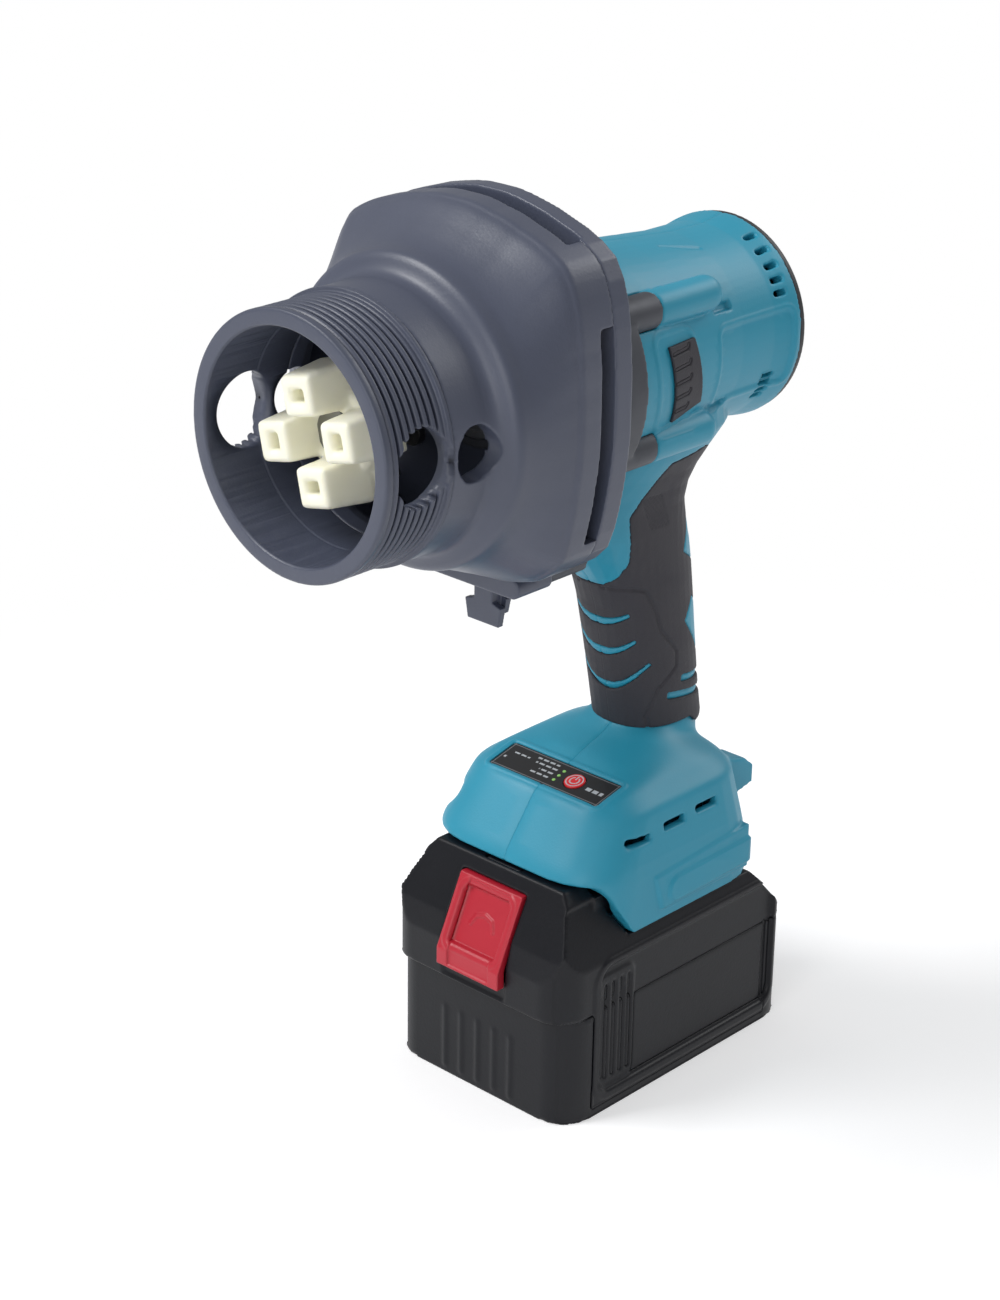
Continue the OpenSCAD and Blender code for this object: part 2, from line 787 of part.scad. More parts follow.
module stator_windings() color("#b8693a") {
    w = tooth_w + 2 * winding_w;
    from_r = stator_bore_r + 2 * air_gap;
    to_r = stator_r - stator_yoke - 2 * air_gap;
    on_axis(stator_y - winding_l) for (i = [0:tooth_n - 1]) rotate(360 / tooth_n * (i + 0.5))
        difference() {
            stator_tooth(w, stator_l + 2 * winding_l, from_r, to_r);
            translate([0, 0, winding_l]) stator_tooth(tooth_w, stator_l, from_r - cut, to_r + cut);
        }
}

fan_disc_t = 1.2;
vent_wall = 3.4;
fan_clear_r = barrel_r - vent_wall;
fan_r = fan_clear_r - fan_rim_gap;
fan_hub_t = 4;
fan_hub_r = rotor_r + fan_hub_t;
vane_t = 1.2;

module cooling_fan() color("#2f3136") {
    on_axis(fan_y) difference() {
        union() {
            cylinder(h = fan_disc_t, r = fan_r);
            cylinder(h = fan_l, r = fan_hub_r);
            for (i = [0:fan_blades - 1]) rotate(360 / fan_blades * i)
                translate([fan_hub_r - cut / 2, -vane_t / 2, 0])
                    cube([fan_r - fan_hub_r, vane_t, fan_l]);
        }
        translate([0, 0, -cut]) cylinder(h = fan_l + 2 * cut, r = rotor_r);
    }
}

// Rear cap
cap_inset = 0.4;

module rear_cap() color("#26282c") {
    difference() {
        union() {
            on_axis(cap_y) cylinder(h = cap_t - edge_r, r = barrel_rim_r - cap_inset);
            on_axis(cap_y + cap_t - edge_r) cylinder(
                h = edge_r, r1 = barrel_rim_r - cap_inset, r2 = barrel_rim_r - cap_inset - 2 * edge_r);
            on_axis(cap_y - cap_boss_l) cylinder(h = cap_boss_l + cut, r = rotor_bearing_r + boss_wall);
        }
        on_axis(cap_y - cap_boss_l - cut) cylinder(h = cap_boss_l + cut, r = rotor_bearing_r);
    }
}

// Motor barrel, shares run from the gear case to the cap: length, blend of the radii
barrel_l = cap_y - case_rear_y;
barrel_shares = [
    [0, 1], [0.18, 0.83], [0.36, 0.46], [0.53, 0.22], [0.68, 0], [0.87, 0], [0.96, 0.26], [1, 0.33]
];

function barrel_at(p, grow) =
    [barrel_r + p[1] * (shoulder_r - barrel_r) + grow, p[0] * barrel_l];

// Solid of revolution of the barrel's right half, grown by a skin
module barrel_half(grow) {
    on_axis(case_rear_y) rotate(-90) rotate_extrude(angle = 180)
        polygon(concat([[0, 0]], [for (p = barrel_shares) barrel_at(p, grow)], [[0, barrel_l]]));
}

// Rings of the grip: height, half width, reach to the front, reach to the rear
grip_h = axis_z - grip_z;
grip_shares = [
    [-0.096, 0.9, 0.8, 0.5], [-0.048, 0.98, 0.95, 0.67], [0, 0.99, 0.98, 0.98], [0.096, 0.99, 0.99, 0.98],
    [0.231, 1.01, 1.01, 1.01], [0.351, 1.04, 1.045, 1.04], [0.43, 1.065, 1.15, 1.045],
    [0.494, 1.09, 1.43, 1.02], [0.558, 1.13, 1.77, 0.93], [0.622, 1.19, 1.98, 0.87],
    [0.669, 1.28, 1.95, 0.98], [0.717, 1.44, 1.89, 1.21], [0.765, 1.635, 1.83, 1.57],
    [0.813, 1.795, 1.76, 2.02], [0.936, 1.83, 1.58, 1.9]
];
grip_square = 2.35;
grip_points = 18;
hollow_rings = len(grip_shares) - 3;

function grip_ring(p, inset) = [
    for (i = [0:grip_points])
        let (
            a = 180 * i / grip_points - 90,
            reach = (a < 0 ? p[2] : p[3]) * grip_hl - inset,
            r = squircle_r(a, p[1] * grip_hw - inset, reach, grip_square)
        )
        [r * cos(a), grip_y - tan(grip_lean) * p[0] * grip_h + r * sin(a), grip_z + p[0] * grip_h]
];

module grip_skin(inset, last) {
    skin([for (k = [0:last]) grip_ring(grip_shares[k], inset)]);
}

// Side view of the soft overmould and of the hard inlays in it: depth, height
mould_shares = [
    [-3.5, 0.4], [-1.62, 0.42], [-1.57, 0.454], [-1.52, 0.494], [-1.6, 0.55], [-1.74, 0.622],
    [-1.57, 0.669], [-1.4, 0.717], [-1.24, 0.757], [-0.39, 0.773], [0.34, 0.741], [2.2, 0.741],
    [2.2, -0.02], [0.42, -0.01], [0.2, 0.014], [-3.5, 0.014]
];
inlay_shares = [
    [[-0.06, 0.566], [-0.25, 0.478], [0.22, 0.434], [1.4, 0.434], [1.4, 0.566]],
    [[0.17, 0.343], [-0.09, 0.287], [0.56, 0.172], [0.45, 0.311]],
    [[-0.11, 0.142], [0.8, 0.122], [0.8, 0.102], [-0.11, 0.122]],
    [[-0.43, 0.106], [0.8, 0.078], [0.8, 0.058], [-0.43, 0.086]]
];
// Front stripes: height at the middle, half length, rise of the ends
stripe_shares = [[0.3, 0.68, 0.032], [0.213, 0.72, 0.045], [0.113, 0.86, 0.08]];
stripe_w = 2.8;
stripe_steps = 4;

function side_point(p) = [grip_y + p[0] * grip_hl, grip_z + p[1] * grip_h];

module stripe(p) {
    low = [for (i = [0:stripe_steps])
        let (t = i / stripe_steps) [t * p[1] * grip_hw, grip_z + (p[0] + p[2] * t * t) * grip_h]];
    front_view(grip_y - grip_hl / 2, 3 * grip_hl) polygon(concat(
        low, [for (i = [stripe_steps:-1:0]) low[i] + [0, stripe_w * (1 - i / stripe_steps / 2)]]));
}

module mould_zone() {
    difference() {
        side_view(-cut, 2 * shoulder_r) polygon([for (p = mould_shares) side_point(p)]);
        for (shares = inlay_shares)
            side_view(-2 * cut, 3 * shoulder_r) polygon([for (p = shares) side_point(p)]);
        for (p = stripe_shares) stripe(p);
    }
}

module grip_half() {
    difference() {
        intersection() {
            grip_skin(0, len(grip_shares) - 1);
            mould_zone();
        }
        grip_skin(mould_t, len(grip_shares) - 1);
    }
}

module grip_right() color("#3e3c40") grip_half();
module grip_left() color("#3e3c40") mirror([1, 0, 0]) grip_half();

// Foot, rings: height, half width, reach to the front, reach to the rear, corner radius
foot_z = pack_h + 2 * slide_gap;
foot_h = grip_z - foot_z;
foot_shares = [
    [0, 0.99, 1, 1.012, 0.48], [0.375, 1, 1, 0.95, 0.48], [0.458, 0.99, 0.953, 0.926, 0.48],
    [0.771, 0.896, 0.695, 0.864, 0.48], [0.813, 0.802, 0.661, 0.84, 0.5], [0.854, 0.749, 0.628, 0.79, 0.55],
    [0.896, 0.668, 0.314, 0.753, 0.7], [0.938, 0.568, 0.15, 0.69, 0.8], [0.979, 0.46, 0, 0.64, 0.95],
    [1.03, 0.39, -0.1, 0.6, 0.95]
];
foot_corner_steps = 5;
floor_z = foot_z + 0.43 * foot_h;

function foot_ring(p, z, inset) =
    let (
        hw = p[1] * foot_hw - inset,
        front = -p[2] * foot_front + inset,
        rear = p[3] * foot_rear - inset,
        r = min(p[4] * p[1] * foot_hw, (rear - front) / 2),
        step = 90 / foot_corner_steps
    )
    concat(
        [[0, front, z]],
        [for (i = [0:foot_corner_steps]) [hw - r + r * sin(i * step), front + r - r * cos(i * step), z]],
        [for (i = [0:foot_corner_steps]) [hw - r + r * cos(i * step), rear - r + r * sin(i * step), z]],
        [[0, rear, z]]
    );

module foot_skin() {
    skin([for (p = foot_shares) foot_ring(p, foot_z + p[0] * foot_h, 0)]);
}

module foot_hollow() {
    low = foot_ring(foot_shares[2], floor_z, shell_t);
    skin(concat([low], [for (k = [3:len(foot_shares) - 1])
        foot_ring(foot_shares[k], foot_z + foot_shares[k][0] * foot_h - shell_t, shell_t)]));
}

// Step under the foot that clears the pack's hump
hump_gap = 0.4;
hump_shares = [[1, 0.05], [0.835, 1], [0.68, 1], [0.456, 0]];

function hump_line(grow) = [
    for (p = hump_shares) [-p[0] * pack_l / 2, pack_h + p[1] * (hump_z - pack_h)] + grow * [1, 1]
];

module foot_step() {
    line = hump_line(hump_gap);
    side_view(-cut, foot_hw + 2 * cut)
        polygon([[-pack_l, foot_z - cut], [-pack_l, line[1][1]], line[2], line[3] + [slide_gap, 0],
            line[3] + [slide_gap, -2 * cut]]);
}

// Slide channel for the pack's rail
lip_w = 4.2;
lip_h = 6.2;
rail_drop = 3.6;
rear_wall = 6.5;
flange_hw = rail_hw + lip_w;
flange_z = pack_h + lip_h;
rail_z = hump_z - rail_drop;
channel_rear_y = foot_rear - rear_wall;
channel_top_z = rail_z + 2 * slide_gap;

module channel() {
    l = foot_front + channel_rear_y + cut;
    translate([-cut, -foot_front - cut, foot_z - cut])
        cube([rail_hw + slide_gap + cut, l, channel_top_z - foot_z + cut]);
    translate([-cut, -foot_front - cut, flange_z - slide_gap])
        cube([flange_hw + slide_gap + cut, l, channel_top_z - flange_z + slide_gap]);
}

// Control panel, in its own tilted frame with the panel's top at height 0
panel_y = -20.5;
panel_z = 96.6;
panel_t = 2.4;
panel_ledge = 2;
board_drop = 11;
board_t = 1.6;
board_hw = 22;
board_front = 7.2;
board_rear = 22;

module at_panel() {
    translate([0, panel_y, panel_z]) rotate([panel_slope, 0, 0]) children();
}

module panel_frame() {
    at_panel() translate([-cut, -panel_w / 2 - shell_t, -panel_t - shell_t])
        cube([panel_l / 2 + shell_t + cut, panel_w + 2 * shell_t, panel_t + 2 * shell_t]);
    at_panel() translate([board_hw - 2 * shell_t, -board_front / 2, -board_drop])
        cube([2 * shell_t, board_front, board_drop - panel_t]);
}

module panel_pocket() {
    at_panel() translate([-panel_l / 2, -panel_w / 2, -panel_t]) cube([panel_l, panel_w, panel_l / 2]);
    at_panel() translate([-panel_l / 2 + panel_ledge, -panel_w / 2 + panel_ledge, -2 * panel_t - shell_t])
        cube([panel_l - 2 * panel_ledge, panel_w - 2 * panel_ledge, 3 * panel_t]);
    at_panel() translate([button_x, 0, -2 * panel_t])
        cylinder(h = 2 * panel_t, r = button_r + button_flange + slide_gap);
}

// Screws that join the halves: depth, height, length of the boss
joint_shares = [
    [-2.92, -0.175, 1.92], [0.337, -0.175, 1.99], [0.045, 0.231, 0.83], [-0.393, 0.51, 0.93],
    [-1.91, 0.574, 0.737], [-0.449, 0.685, 0.96]
];
joint_boss_r = 4.4;

module at_joint(p) {
    point = side_point(p);
    translate([0, point[0], point[1]]) rotate([0, 90, 0]) children();
}

module joint_bosses() {
    for (p = joint_shares) at_joint(p)
        translate([0, 0, -cut]) cylinder(h = p[2] * grip_hw + cut, r = joint_boss_r);
}

module joint_pilots() {
    for (p = joint_shares) at_joint(p)
        translate([0, 0, -cut]) cylinder(h = 0.75 * p[2] * grip_hw + cut, r = small_screw_r);
}

module joint_sinks() {
    for (p = joint_shares) at_joint(p) {
        translate([0, 0, -cut]) cylinder(h = p[2] * grip_hw, r = small_screw_r + run_gap);
        translate([0, 0, 0.6 * p[2] * grip_hw]) cylinder(h = foot_hw, r = small_head_r + slide_gap);
    }
}

module housing_screws() color("silver") {
    for (p = joint_shares) at_joint(p) {
        translate([0, 0, -0.6 * p[2] * grip_hw]) cylinder(h = 1.3 * p[2] * grip_hw, r = small_screw_r);
        translate([0, 0, -0.6 * p[2] * grip_hw - small_head_t]) cylinder(h = small_head_t, r = small_head_r);
    }
}

// Ribs that carry the screws behind the gear case's lugs
rib_l = 24;
lug_fit = 0.1;

module lug_ribs() {
    for (z = [-1, 1]) on_axis(lug_rear_y) translate([lug_x, z * lug_z, 0]) {
        cylinder(h = rib_l, r = lug_r);
        translate([0, 0, rib_l]) sphere(r = lug_r);
    }
}

module lug_pockets() {
    for (z = [-1, 1]) on_axis(case_rear_y - cut) translate([lug_x, z * lug_z, 0]) {
        cylinder(h = lug_l + cut, r = lug_r + lug_fit);
        cylinder(h = case_screw_l - plate_t - case_l + cut, r = case_screw_r);
    }
}

// Space for the motor, its bearings' carriers and its leads
shoulder_wall = 1.4;
motor_clear_r = barrel_r - shoulder_wall;
lead_r = 1.3;
lead_pitch = 3.4;
lead_hole_hw = 6.4;

module motor_space() {
    on_axis(case_rear_y - cut) cylinder(h = case_spigot_l + cut + seat_gap, r = case_spigot_r + run_gap);
    on_axis(spigot_rear_y) cylinder(h = stator_y - spigot_rear_y, r = motor_clear_r);
    on_axis(stator_y - cut) cylinder(h = stator_l + cut, r = stator_r);
    on_axis(stator_y + stator_l - cut) cylinder(h = barrel_rear_y - stator_y - stator_l, r = fan_clear_r);
}

module lead_hole() {
    translate([-lead_hole_hw, spigot_rear_y + cut, grip_z + 0.7 * grip_h])
        cube([2 * lead_hole_hw, stator_y - spigot_rear_y - 2 * cut, 0.14 * grip_h]);
}

// Air vents: distance behind the gear case, turn above the horizontal
upper_vent_shares = [[0.94, 63], [0.935, 52], [0.93, 42], [0.925, 33.5], [0.92, 26]];
lower_vent_shares = [[0.865, -22], [0.865, -27], [0.86, -32], [0.855, -37]];
upper_notch_shares = [[0.565, 31]];
lower_notch_shares = [[0.53, -27.5]];
vent_w = 1.9;
vent_l = 5;
notch_w = 2.6;
notch_l = 7.5;
notch_depth = 1.4;

module slots(shares, w, l, from_r) {
    for (p = shares) on_axis(case_rear_y + p[0] * barrel_l) rotate(-p[1])
        translate([from_r, -w / 2, -l / 2]) cube([shoulder_r, w, l]);
}

side_slot_w = 10;
side_slot_h = 2.6;
side_slot_shares = [-0.466, -0.099, 0.246];
side_slot_z = foot_z + 0.6 * foot_h;

module side_slots() {
    for (s = side_slot_shares)
        translate([foot_hw / 2, s * foot_front - side_slot_w / 2, side_slot_z + 2 * s])
            cube([foot_hw, side_slot_w, side_slot_h]);
}

// Raised rib on the foot's side and the belt lug behind it
side_rib_shares = [[-0.35, 0.33], [-0.27, 0.08], [0.66, 0.08], [0.66, 0.39]];
side_rib_t = 0.8;
belt_lug_w = 10;
belt_lug_x = 16;
belt_lug_shares = [[0.7, 0.76], [0.92, 0.7], [1.02, 0.62], [1.02, 0.5], [0.7, 0.44]];

function foot_point(p) = [p[0] * foot_front, foot_z + p[1] * foot_h];

module foot_trim() {
    side_view(foot_hw / 2, foot_hw / 2 + side_rib_t) polygon([for (p = side_rib_shares) foot_point(p)]);
    side_view(belt_lug_x, belt_lug_w) polygon([for (p = belt_lug_shares) foot_point(p)]);
}

module housing_body() {
    difference() {
        union() {
            barrel_half(0);
            lug_ribs();
            grip_skin(0, len(grip_shares) - 1);
            foot_skin();
            foot_trim();
        }
        difference() {
            mould_zone();
            grip_skin(mould_t, len(grip_shares) - 1);
        }
        difference() {
            union() {
                grip_skin(mould_t + shell_t, hollow_rings);
                foot_hollow();
            }
            joint_bosses();
            panel_frame();
        }
        motor_space();
        lead_hole();
        lug_pockets();
        foot_step();
        channel();
        panel_pocket();
        side_slots();
        slots(upper_vent_shares, vent_w, vent_l, stator_r);
        slots(lower_vent_shares, vent_w, vent_l, stator_r);
        slots(upper_notch_shares, notch_w, notch_l, barrel_r + notch_depth / 2);
        slots(lower_notch_shares, notch_w, notch_l, barrel_r + notch_depth / 2);
    }
}

module housing_right() color("#4a9bb2") {
    difference() {
        housing_body();
        joint_pilots();
    }
}

module housing_left() color("#4a9bb2") mirror([1, 0, 0]) {
    difference() {
        housing_body();
        joint_sinks();
    }
}

// Side pads: outline by share of the barrel's length and share of its radius
pad_t = 1;
pad_shares = [[0.18, 0.33], [0.35, 0.33], [0.41, -0.35], [0.24, -0.46]];

module side_pad() {
    intersection() {
        difference() {
            barrel_half(pad_t);
            barrel_half(0);
        }
        side_view(barrel_r / 2, barrel_r)
            polygon([for (p = pad_shares) [case_rear_y + p[0] * barrel_l, axis_z + p[1] * barrel_r]]);
    }
}

module side_pad_right() color("#3e3c40") side_pad();
module side_pad_left() color("#3e3c40") mirror([1, 0, 0]) side_pad();

// Wire that rises through a list of points
module wire(points, r) {
    skin([for (p = points) [for (a = [0:45:315]) p + [r * cos(a), r * sin(a), 0]]]);
}

winding_front_y = stator_y - winding_l;
lead_top_z = axis_z - (stator_bore_r + stator_r - stator_yoke) / 2;

module motor_leads() color("#a83238") {
    board_y = panel_y + 0.7 * board_rear * cos(panel_slope) + board_drop * sin(panel_slope);
    board_z = panel_z + (0.7 * board_rear + lead_r) * sin(panel_slope) - board_drop * cos(panel_slope);
    for (i = [-1:1]) wire([
        [i * lead_pitch, board_y, board_z],
        [i * lead_pitch, board_y + lead_pitch, board_z + 2 * lead_pitch],
        [i * lead_pitch, grip_y - 0.6 * grip_hl, grip_z - lead_pitch],
        [i * lead_pitch, grip_y - grip_hl / 3, grip_z + 2 * lead_pitch],
        [i * lead_pitch, grip_y - grip_hl, grip_z + 0.55 * grip_h],
        [i * lead_pitch, winding_front_y - 3 * lead_r, lead_top_z - 3 * lead_r],
        [i * lead_pitch, winding_front_y - lead_r, lead_top_z]
    ], lead_r);
}

// Controls
button_x = 8;
button_flange = 1;
button_flange_t = 1;
button_rise = 0.3;
switch_w = 6;
switch_h = 3.4;
switch_cap_h = 1.6;
light_r = 0.8;
light_x = 1.6;
light_pitch = 2.6;

module label_panel() color("#24262b") {
    at_panel() difference() {
        translate([-panel_l / 2, -panel_w / 2, -panel_t]) cube([panel_l, panel_w, panel_t]);
        translate([button_x, 0, -panel_t - cut]) cylinder(h = panel_t + 2 * cut, r = button_r + slide_gap);
        for (i = [-1:1]) translate([light_x, i * light_pitch, -panel_t - cut])
            cylinder(h = panel_t + 2 * cut, r = light_r);
    }
}

module power_button() color("#be3241") {
    stem_l = board_drop - switch_h - switch_cap_h - button_travel - slide_gap;
    at_panel() translate([button_x, 0, 0]) {
        translate([0, 0, -panel_t - button_flange_t])
            cylinder(h = panel_t + button_flange_t + button_rise, r = button_r);
        translate([0, 0, -panel_t - button_flange_t]) difference() {
            cylinder(h = button_flange_t, r = button_r + button_flange);
            translate([0, 0, -cut]) cylinder(h = button_flange_t + 2 * cut, r = button_r - cut);
        }
        translate([0, 0, -stem_l]) cylinder(h = stem_l - panel_t, r = button_r / 2);
    }
}

module indicator_lights() color("#d8d24a") {
    at_panel() for (i = [-1:1]) translate([light_x, i * light_pitch, -board_drop])
        cylinder(h = board_drop, r = light_r);
}

module control_board() color("#2e6b45") {
    at_panel() translate([-board_hw, -board_front, -board_drop - board_t])
        cube([2 * board_hw, board_front + board_rear, board_t]);
}

module button_switch() color("#3a3c42") {
    at_panel() translate([button_x, 0, -board_drop]) {
        translate([-switch_w / 2, -switch_w / 2, 0]) cube([switch_w, switch_w, switch_h]);
        cylinder(h = switch_h + switch_cap_h, r = switch_w / 4);
    }
}

// Pack terminals in the foot
terminal_hw = 22;
terminal_l = 10;
blade_n = 4;
blade_pitch = 10;
blade_t = 0.8;
blade_h = 7;
blade_l = 14;
blade_foot = 1.4;
terminal_z = flange_z - lip_h / 6;
blade_z = terminal_z + blade_foot;

module at_blades() {
    for (i = [0:blade_n - 1]) translate([(i - (blade_n - 1) / 2) * blade_pitch, 0, 0]) children();
}

module terminal_block() color("#26282c") {
    translate([-terminal_hw, channel_rear_y - terminal_l, terminal_z])
        cube([2 * terminal_hw, terminal_l, channel_top_z - terminal_z]);
}

module terminal_blades() color("#c9a648") {
    at_blades() translate([-blade_t / 2, channel_rear_y - terminal_l - blade_l, blade_z])
        cube([blade_t, blade_l, blade_h]);
}

// Battery pack
bulge_y = -pack_l / 2 - pack_wall;
rail_front_y = -0.66 * pack_l / 2;
rail_clear = 1;
rail_rear_y = channel_rear_y - terminal_l - rail_clear;
// Side view of the upper case: depth, height
upper_shares = [[1.044, 0.75], [1.044, 0.86], [1, 1], [0.877, 1.235]];
rear_slope_shares = [[-0.62, 1], [-0.92, 0.69], [-1, 0.63]];

function pack_point(p) = [-p[0] * pack_l / 2, p[1] * pack_h];

module upper_outline() {
    polygon(concat(
        [[bulge_y, split_z]],
        [for (p = upper_shares) pack_point(p)],
        [for (i = [1:3]) hump_line(0)[i]],
        [for (p = rear_slope_shares) pack_point(p)],
        [[pack_l / 2, split_z]]
    ));
}

// Front view of the upper case: half width, height
side_shares = [[1, 0.63], [1, 0.92], [0.78, 1.26], [0.68, 1.34]];

module upper_front(inset) {
    half = [for (p = side_shares) [p[0] * pack_w / 2 - inset, p[1] * pack_h]];
    front_view(pack_l, 2 * pack_l)
        polygon(concat(half, [for (i = [len(half) - 1:-1:0]) [-half[i][0], half[i][1]]]));
}

module pack_column(z, h, front_y, inset) {
    w = pack_w - 2 * inset;
    l = pack_l / 2 - front_y - 2 * inset;
    translate([0, 0, z]) linear_extrude(h) offset(pack_corner_r - inset) offset(inset - pack_corner_r)
        translate([-w / 2, front_y + inset]) square([w, l]);
}

module rail_block(hw, z, h) {
    translate([-hw, rail_front_y, z]) cube([2 * hw, rail_rear_y - rail_front_y, h]);
}

// Cheeks of the upper case that reach down over the lower case's sides
cheek_shares = [0.77, 0.05];

module cheeks(gap) {
    l = cheek_shares[0] * pack_l + 2 * gap;
    z = cheek_shares[1] * pack_h - gap;
    for (x = [-pack_w / 2 - gap, pack_w / 2 - pack_wall])
        translate([x, -l / 2, z]) cube([pack_wall + gap, l, split_z + cut - z]);
}

side_recess_t = 0.9;
side_recess_shares = [[0.72, 0.13], [0.84, 0.9]];
groove_n = 5;
groove_w = 1.2;
groove_pitch = 3.1;

module side_recesses() {
    low = side_recess_shares[0];
    high = side_recess_shares[1];
    for (x = [-pack_w / 2 - cut, pack_w / 2 - side_recess_t])
        side_view(x, side_recess_t + cut) offset(pack_corner_r / 2) offset(-pack_corner_r / 2)
            translate([-low[0] * pack_l / 2, low[1] * pack_h])
                square([(low[0] + high[0]) * pack_l / 2, (high[1] - low[1]) * pack_h]);
    for (x = [-pack_w / 2 - cut, pack_w / 2 - 1.8 * side_recess_t], i = [0:groove_n - 1])
        translate([x, -0.69 * pack_l / 2 + i * groove_pitch, 0.19 * pack_h])
            cube([1.8 * side_recess_t + cut, groove_w, 0.53 * pack_h]);
}

// Release button, drawn in side view: depth, height of its front face
release_shares = [[0.9, 0.93], [1.095, 0.63], [1.095, 0.555]];
release_front = [for (p = release_shares) [-p[0] * pack_l / 2, p[1] * hump_z]];
release_t = 3.2;
release_gap = 0.4;
release_stem_hw = 7;
tooth_l = 4;
spring_r = 3;
spring_wire_r = 0.5;
spring_turns = 5;
spring_y = -0.86 * pack_l / 2;
spring_z = split_z + 3 * pack_wall;
spring_h = 10;
tooth_y = -foot_front + 2 * release_gap;

module release_stem() {
    front = release_front;
    rear_y = tooth_y + tooth_l + release_gap;
    side_view(-release_stem_hw, 2 * release_stem_hw) polygon([
        front[0] + [release_t / 2, 0], [rear_y, front[0][1]], [rear_y, spring_z + spring_h],
        [spring_y - spring_r, spring_z + spring_h], (front[0] + front[1]) / 2 + [release_t / 2, 0]
    ]);
    translate([-release_stem_hw, tooth_y, front[0][1] - cut])
        cube([2 * release_stem_hw, tooth_l, hump_z - slide_gap - front[0][1] + cut]);
}

module release_plate(hw, inset) {
    front = release_front;
    side_view(-hw, 2 * hw) offset(-inset)
        polygon(concat(front, [for (i = [2:-1:0]) front[i] + [release_t, 0]]));
}

module release_button() color("#be3241") {
    difference() {
        union() {
            release_plate(release_w / 2, 0);
            release_stem();
        }
        translate([0, -release_t / 2, 0]) release_plate(release_w / 3, edge_r);
    }
}

module release_pocket() {
    front = release_front;
    low = [0, -release_travel - 2 * release_gap];
    inner = [release_t + release_gap, 0];
    outer = [-2 * release_t, 0];
    side_view(-release_w / 2 - release_gap, release_w + 2 * release_gap) polygon([
        front[0] + outer + [0, release_gap], front[0] + inner + [0, release_gap],
        front[0] + inner + low, front[1] + inner + low, front[2] + inner + low, front[2] + outer + low
    ]);
    translate([-release_stem_hw - release_gap, tooth_y - release_gap, front[0][1]])
        cube([2 * (release_stem_hw + release_gap), tooth_l + 2 * release_gap, hump_z - front[0][1] + cut]);
    stem_y = front[0][0] - release_t / 2;
    stem_z = spring_z + spring_h + low[1];
    translate([-release_stem_hw - release_gap, stem_y, stem_z]) cube([
        2 * (release_stem_hw + release_gap), tooth_y + tooth_l + 2 * release_gap - stem_y,
        front[0][1] + release_gap - stem_z
    ]);
}

pack_boss_r = 3;
pack_screw_r = 1.25;

module at_pack_screws(z) {
    for (x = [-0.6, 0.6], y = [-0.925, 0.91]) translate([x * rail_hw, y * pack_l / 2, z]) children();
}

module upper_hollow() {
    w = pack_w - 2 * pack_wall;
    difference() {
        union() {
            intersection() {
                side_view(-w / 2, w) offset(-pack_wall) upper_outline();
                pack_column(split_z, hump_z, bulge_y, pack_wall);
                upper_front(1.2 * pack_wall);
            }
            translate([pack_wall - w / 2, 2 * pack_wall - pack_l / 2, split_z - cut])
                cube([w - 2 * pack_wall, pack_l - 4 * pack_wall, pack_wall + 2 * cut]);
        }
        at_pack_screws(split_z - cut) cylinder(h = pack_wall + 2 * cut, r = pack_boss_r);
        spring_ledge();
        rail_wall();
    }
}

module spring_ledge() {
    hw = release_w / 2 + 2 * pack_wall;
    translate([-hw, bulge_y, spring_z - pack_wall])
        cube([2 * hw, spring_y + spring_r + 2 * spring_wire_r - bulge_y, pack_wall]);
}

module rail_wall() {
    difference() {
        rail_block(rail_hw, pack_h - 2 * pack_wall, rail_z - pack_h);
        rail_hollow();
    }
}

module rail_hollow() {
    w = 2 * (rail_hw - pack_wall);
    l = rail_rear_y - rail_front_y - 2 * pack_wall;
    translate([-w / 2, rail_front_y + pack_wall, pack_h - 3 * pack_wall])
        cube([w, l, rail_z - pack_h + 2 * pack_wall]);
}

module pack_upper_case() color("#24262c") {
    difference() {
        union() {
            difference() {
                intersection() {
                    side_view(-pack_w / 2, pack_w) upper_outline();
                    pack_column(split_z, hump_z, bulge_y, 0);
                    upper_front(0);
                }
                upper_hollow();
            }
            rail_block(rail_hw, pack_h - cut, rail_z - pack_h + cut);
            rail_block(flange_hw, flange_z, rail_z - flange_z);
            cheeks(0);
        }
        rail_hollow();
        at_blades() translate([-1.5 * blade_t, channel_rear_y - terminal_l - blade_l - cut, blade_z - cut])
            cube([3 * blade_t, blade_l + 2 * cut, rail_z - blade_z + 2 * cut]);
        release_pocket();
        side_recesses();
        at_pack_screws(split_z - cut) cylinder(h = pack_wall + 2 * cut, r = pack_screw_r);
    }
}

front_rib_n = 5;
front_rib_pitch = 7;
front_rib_w = 2;

module pack_lower_case() color("#1f2126") {
    difference() {
        union() {
            difference() {
                pack_column(0, split_z, -pack_l / 2, 0);
                difference() {
                    pack_column(pack_wall, split_z, -pack_l / 2, pack_wall);
                    at_pack_screws(pack_wall - cut) cylinder(h = split_z, r = pack_boss_r);
                }
            }
            for (i = [0:front_rib_n - 1])
                translate([
                    (i - (front_rib_n - 1) / 2) * front_rib_pitch, -pack_l / 2 + front_rib_w / 4, pack_wall
                ]) cylinder(h = 0.6 * split_z, r = front_rib_w / 2);
        }
        cheeks(run_gap);
        side_recesses();
        at_pack_screws(-cut) {
            cylinder(h = split_z + 2 * cut, r = pack_screw_r + run_gap);
            cylinder(h = small_head_t + cut, r = small_head_r - run_gap);
        }
    }
}

module pack_screws() color("silver") {
    at_pack_screws(small_head_t) {
        cylinder(h = split_z + pack_wall - small_head_t, r = pack_screw_r);
        translate([0, 0, -small_head_t / 2]) cylinder(h = small_head_t / 2, r = small_head_r - edge_r);
    }
}

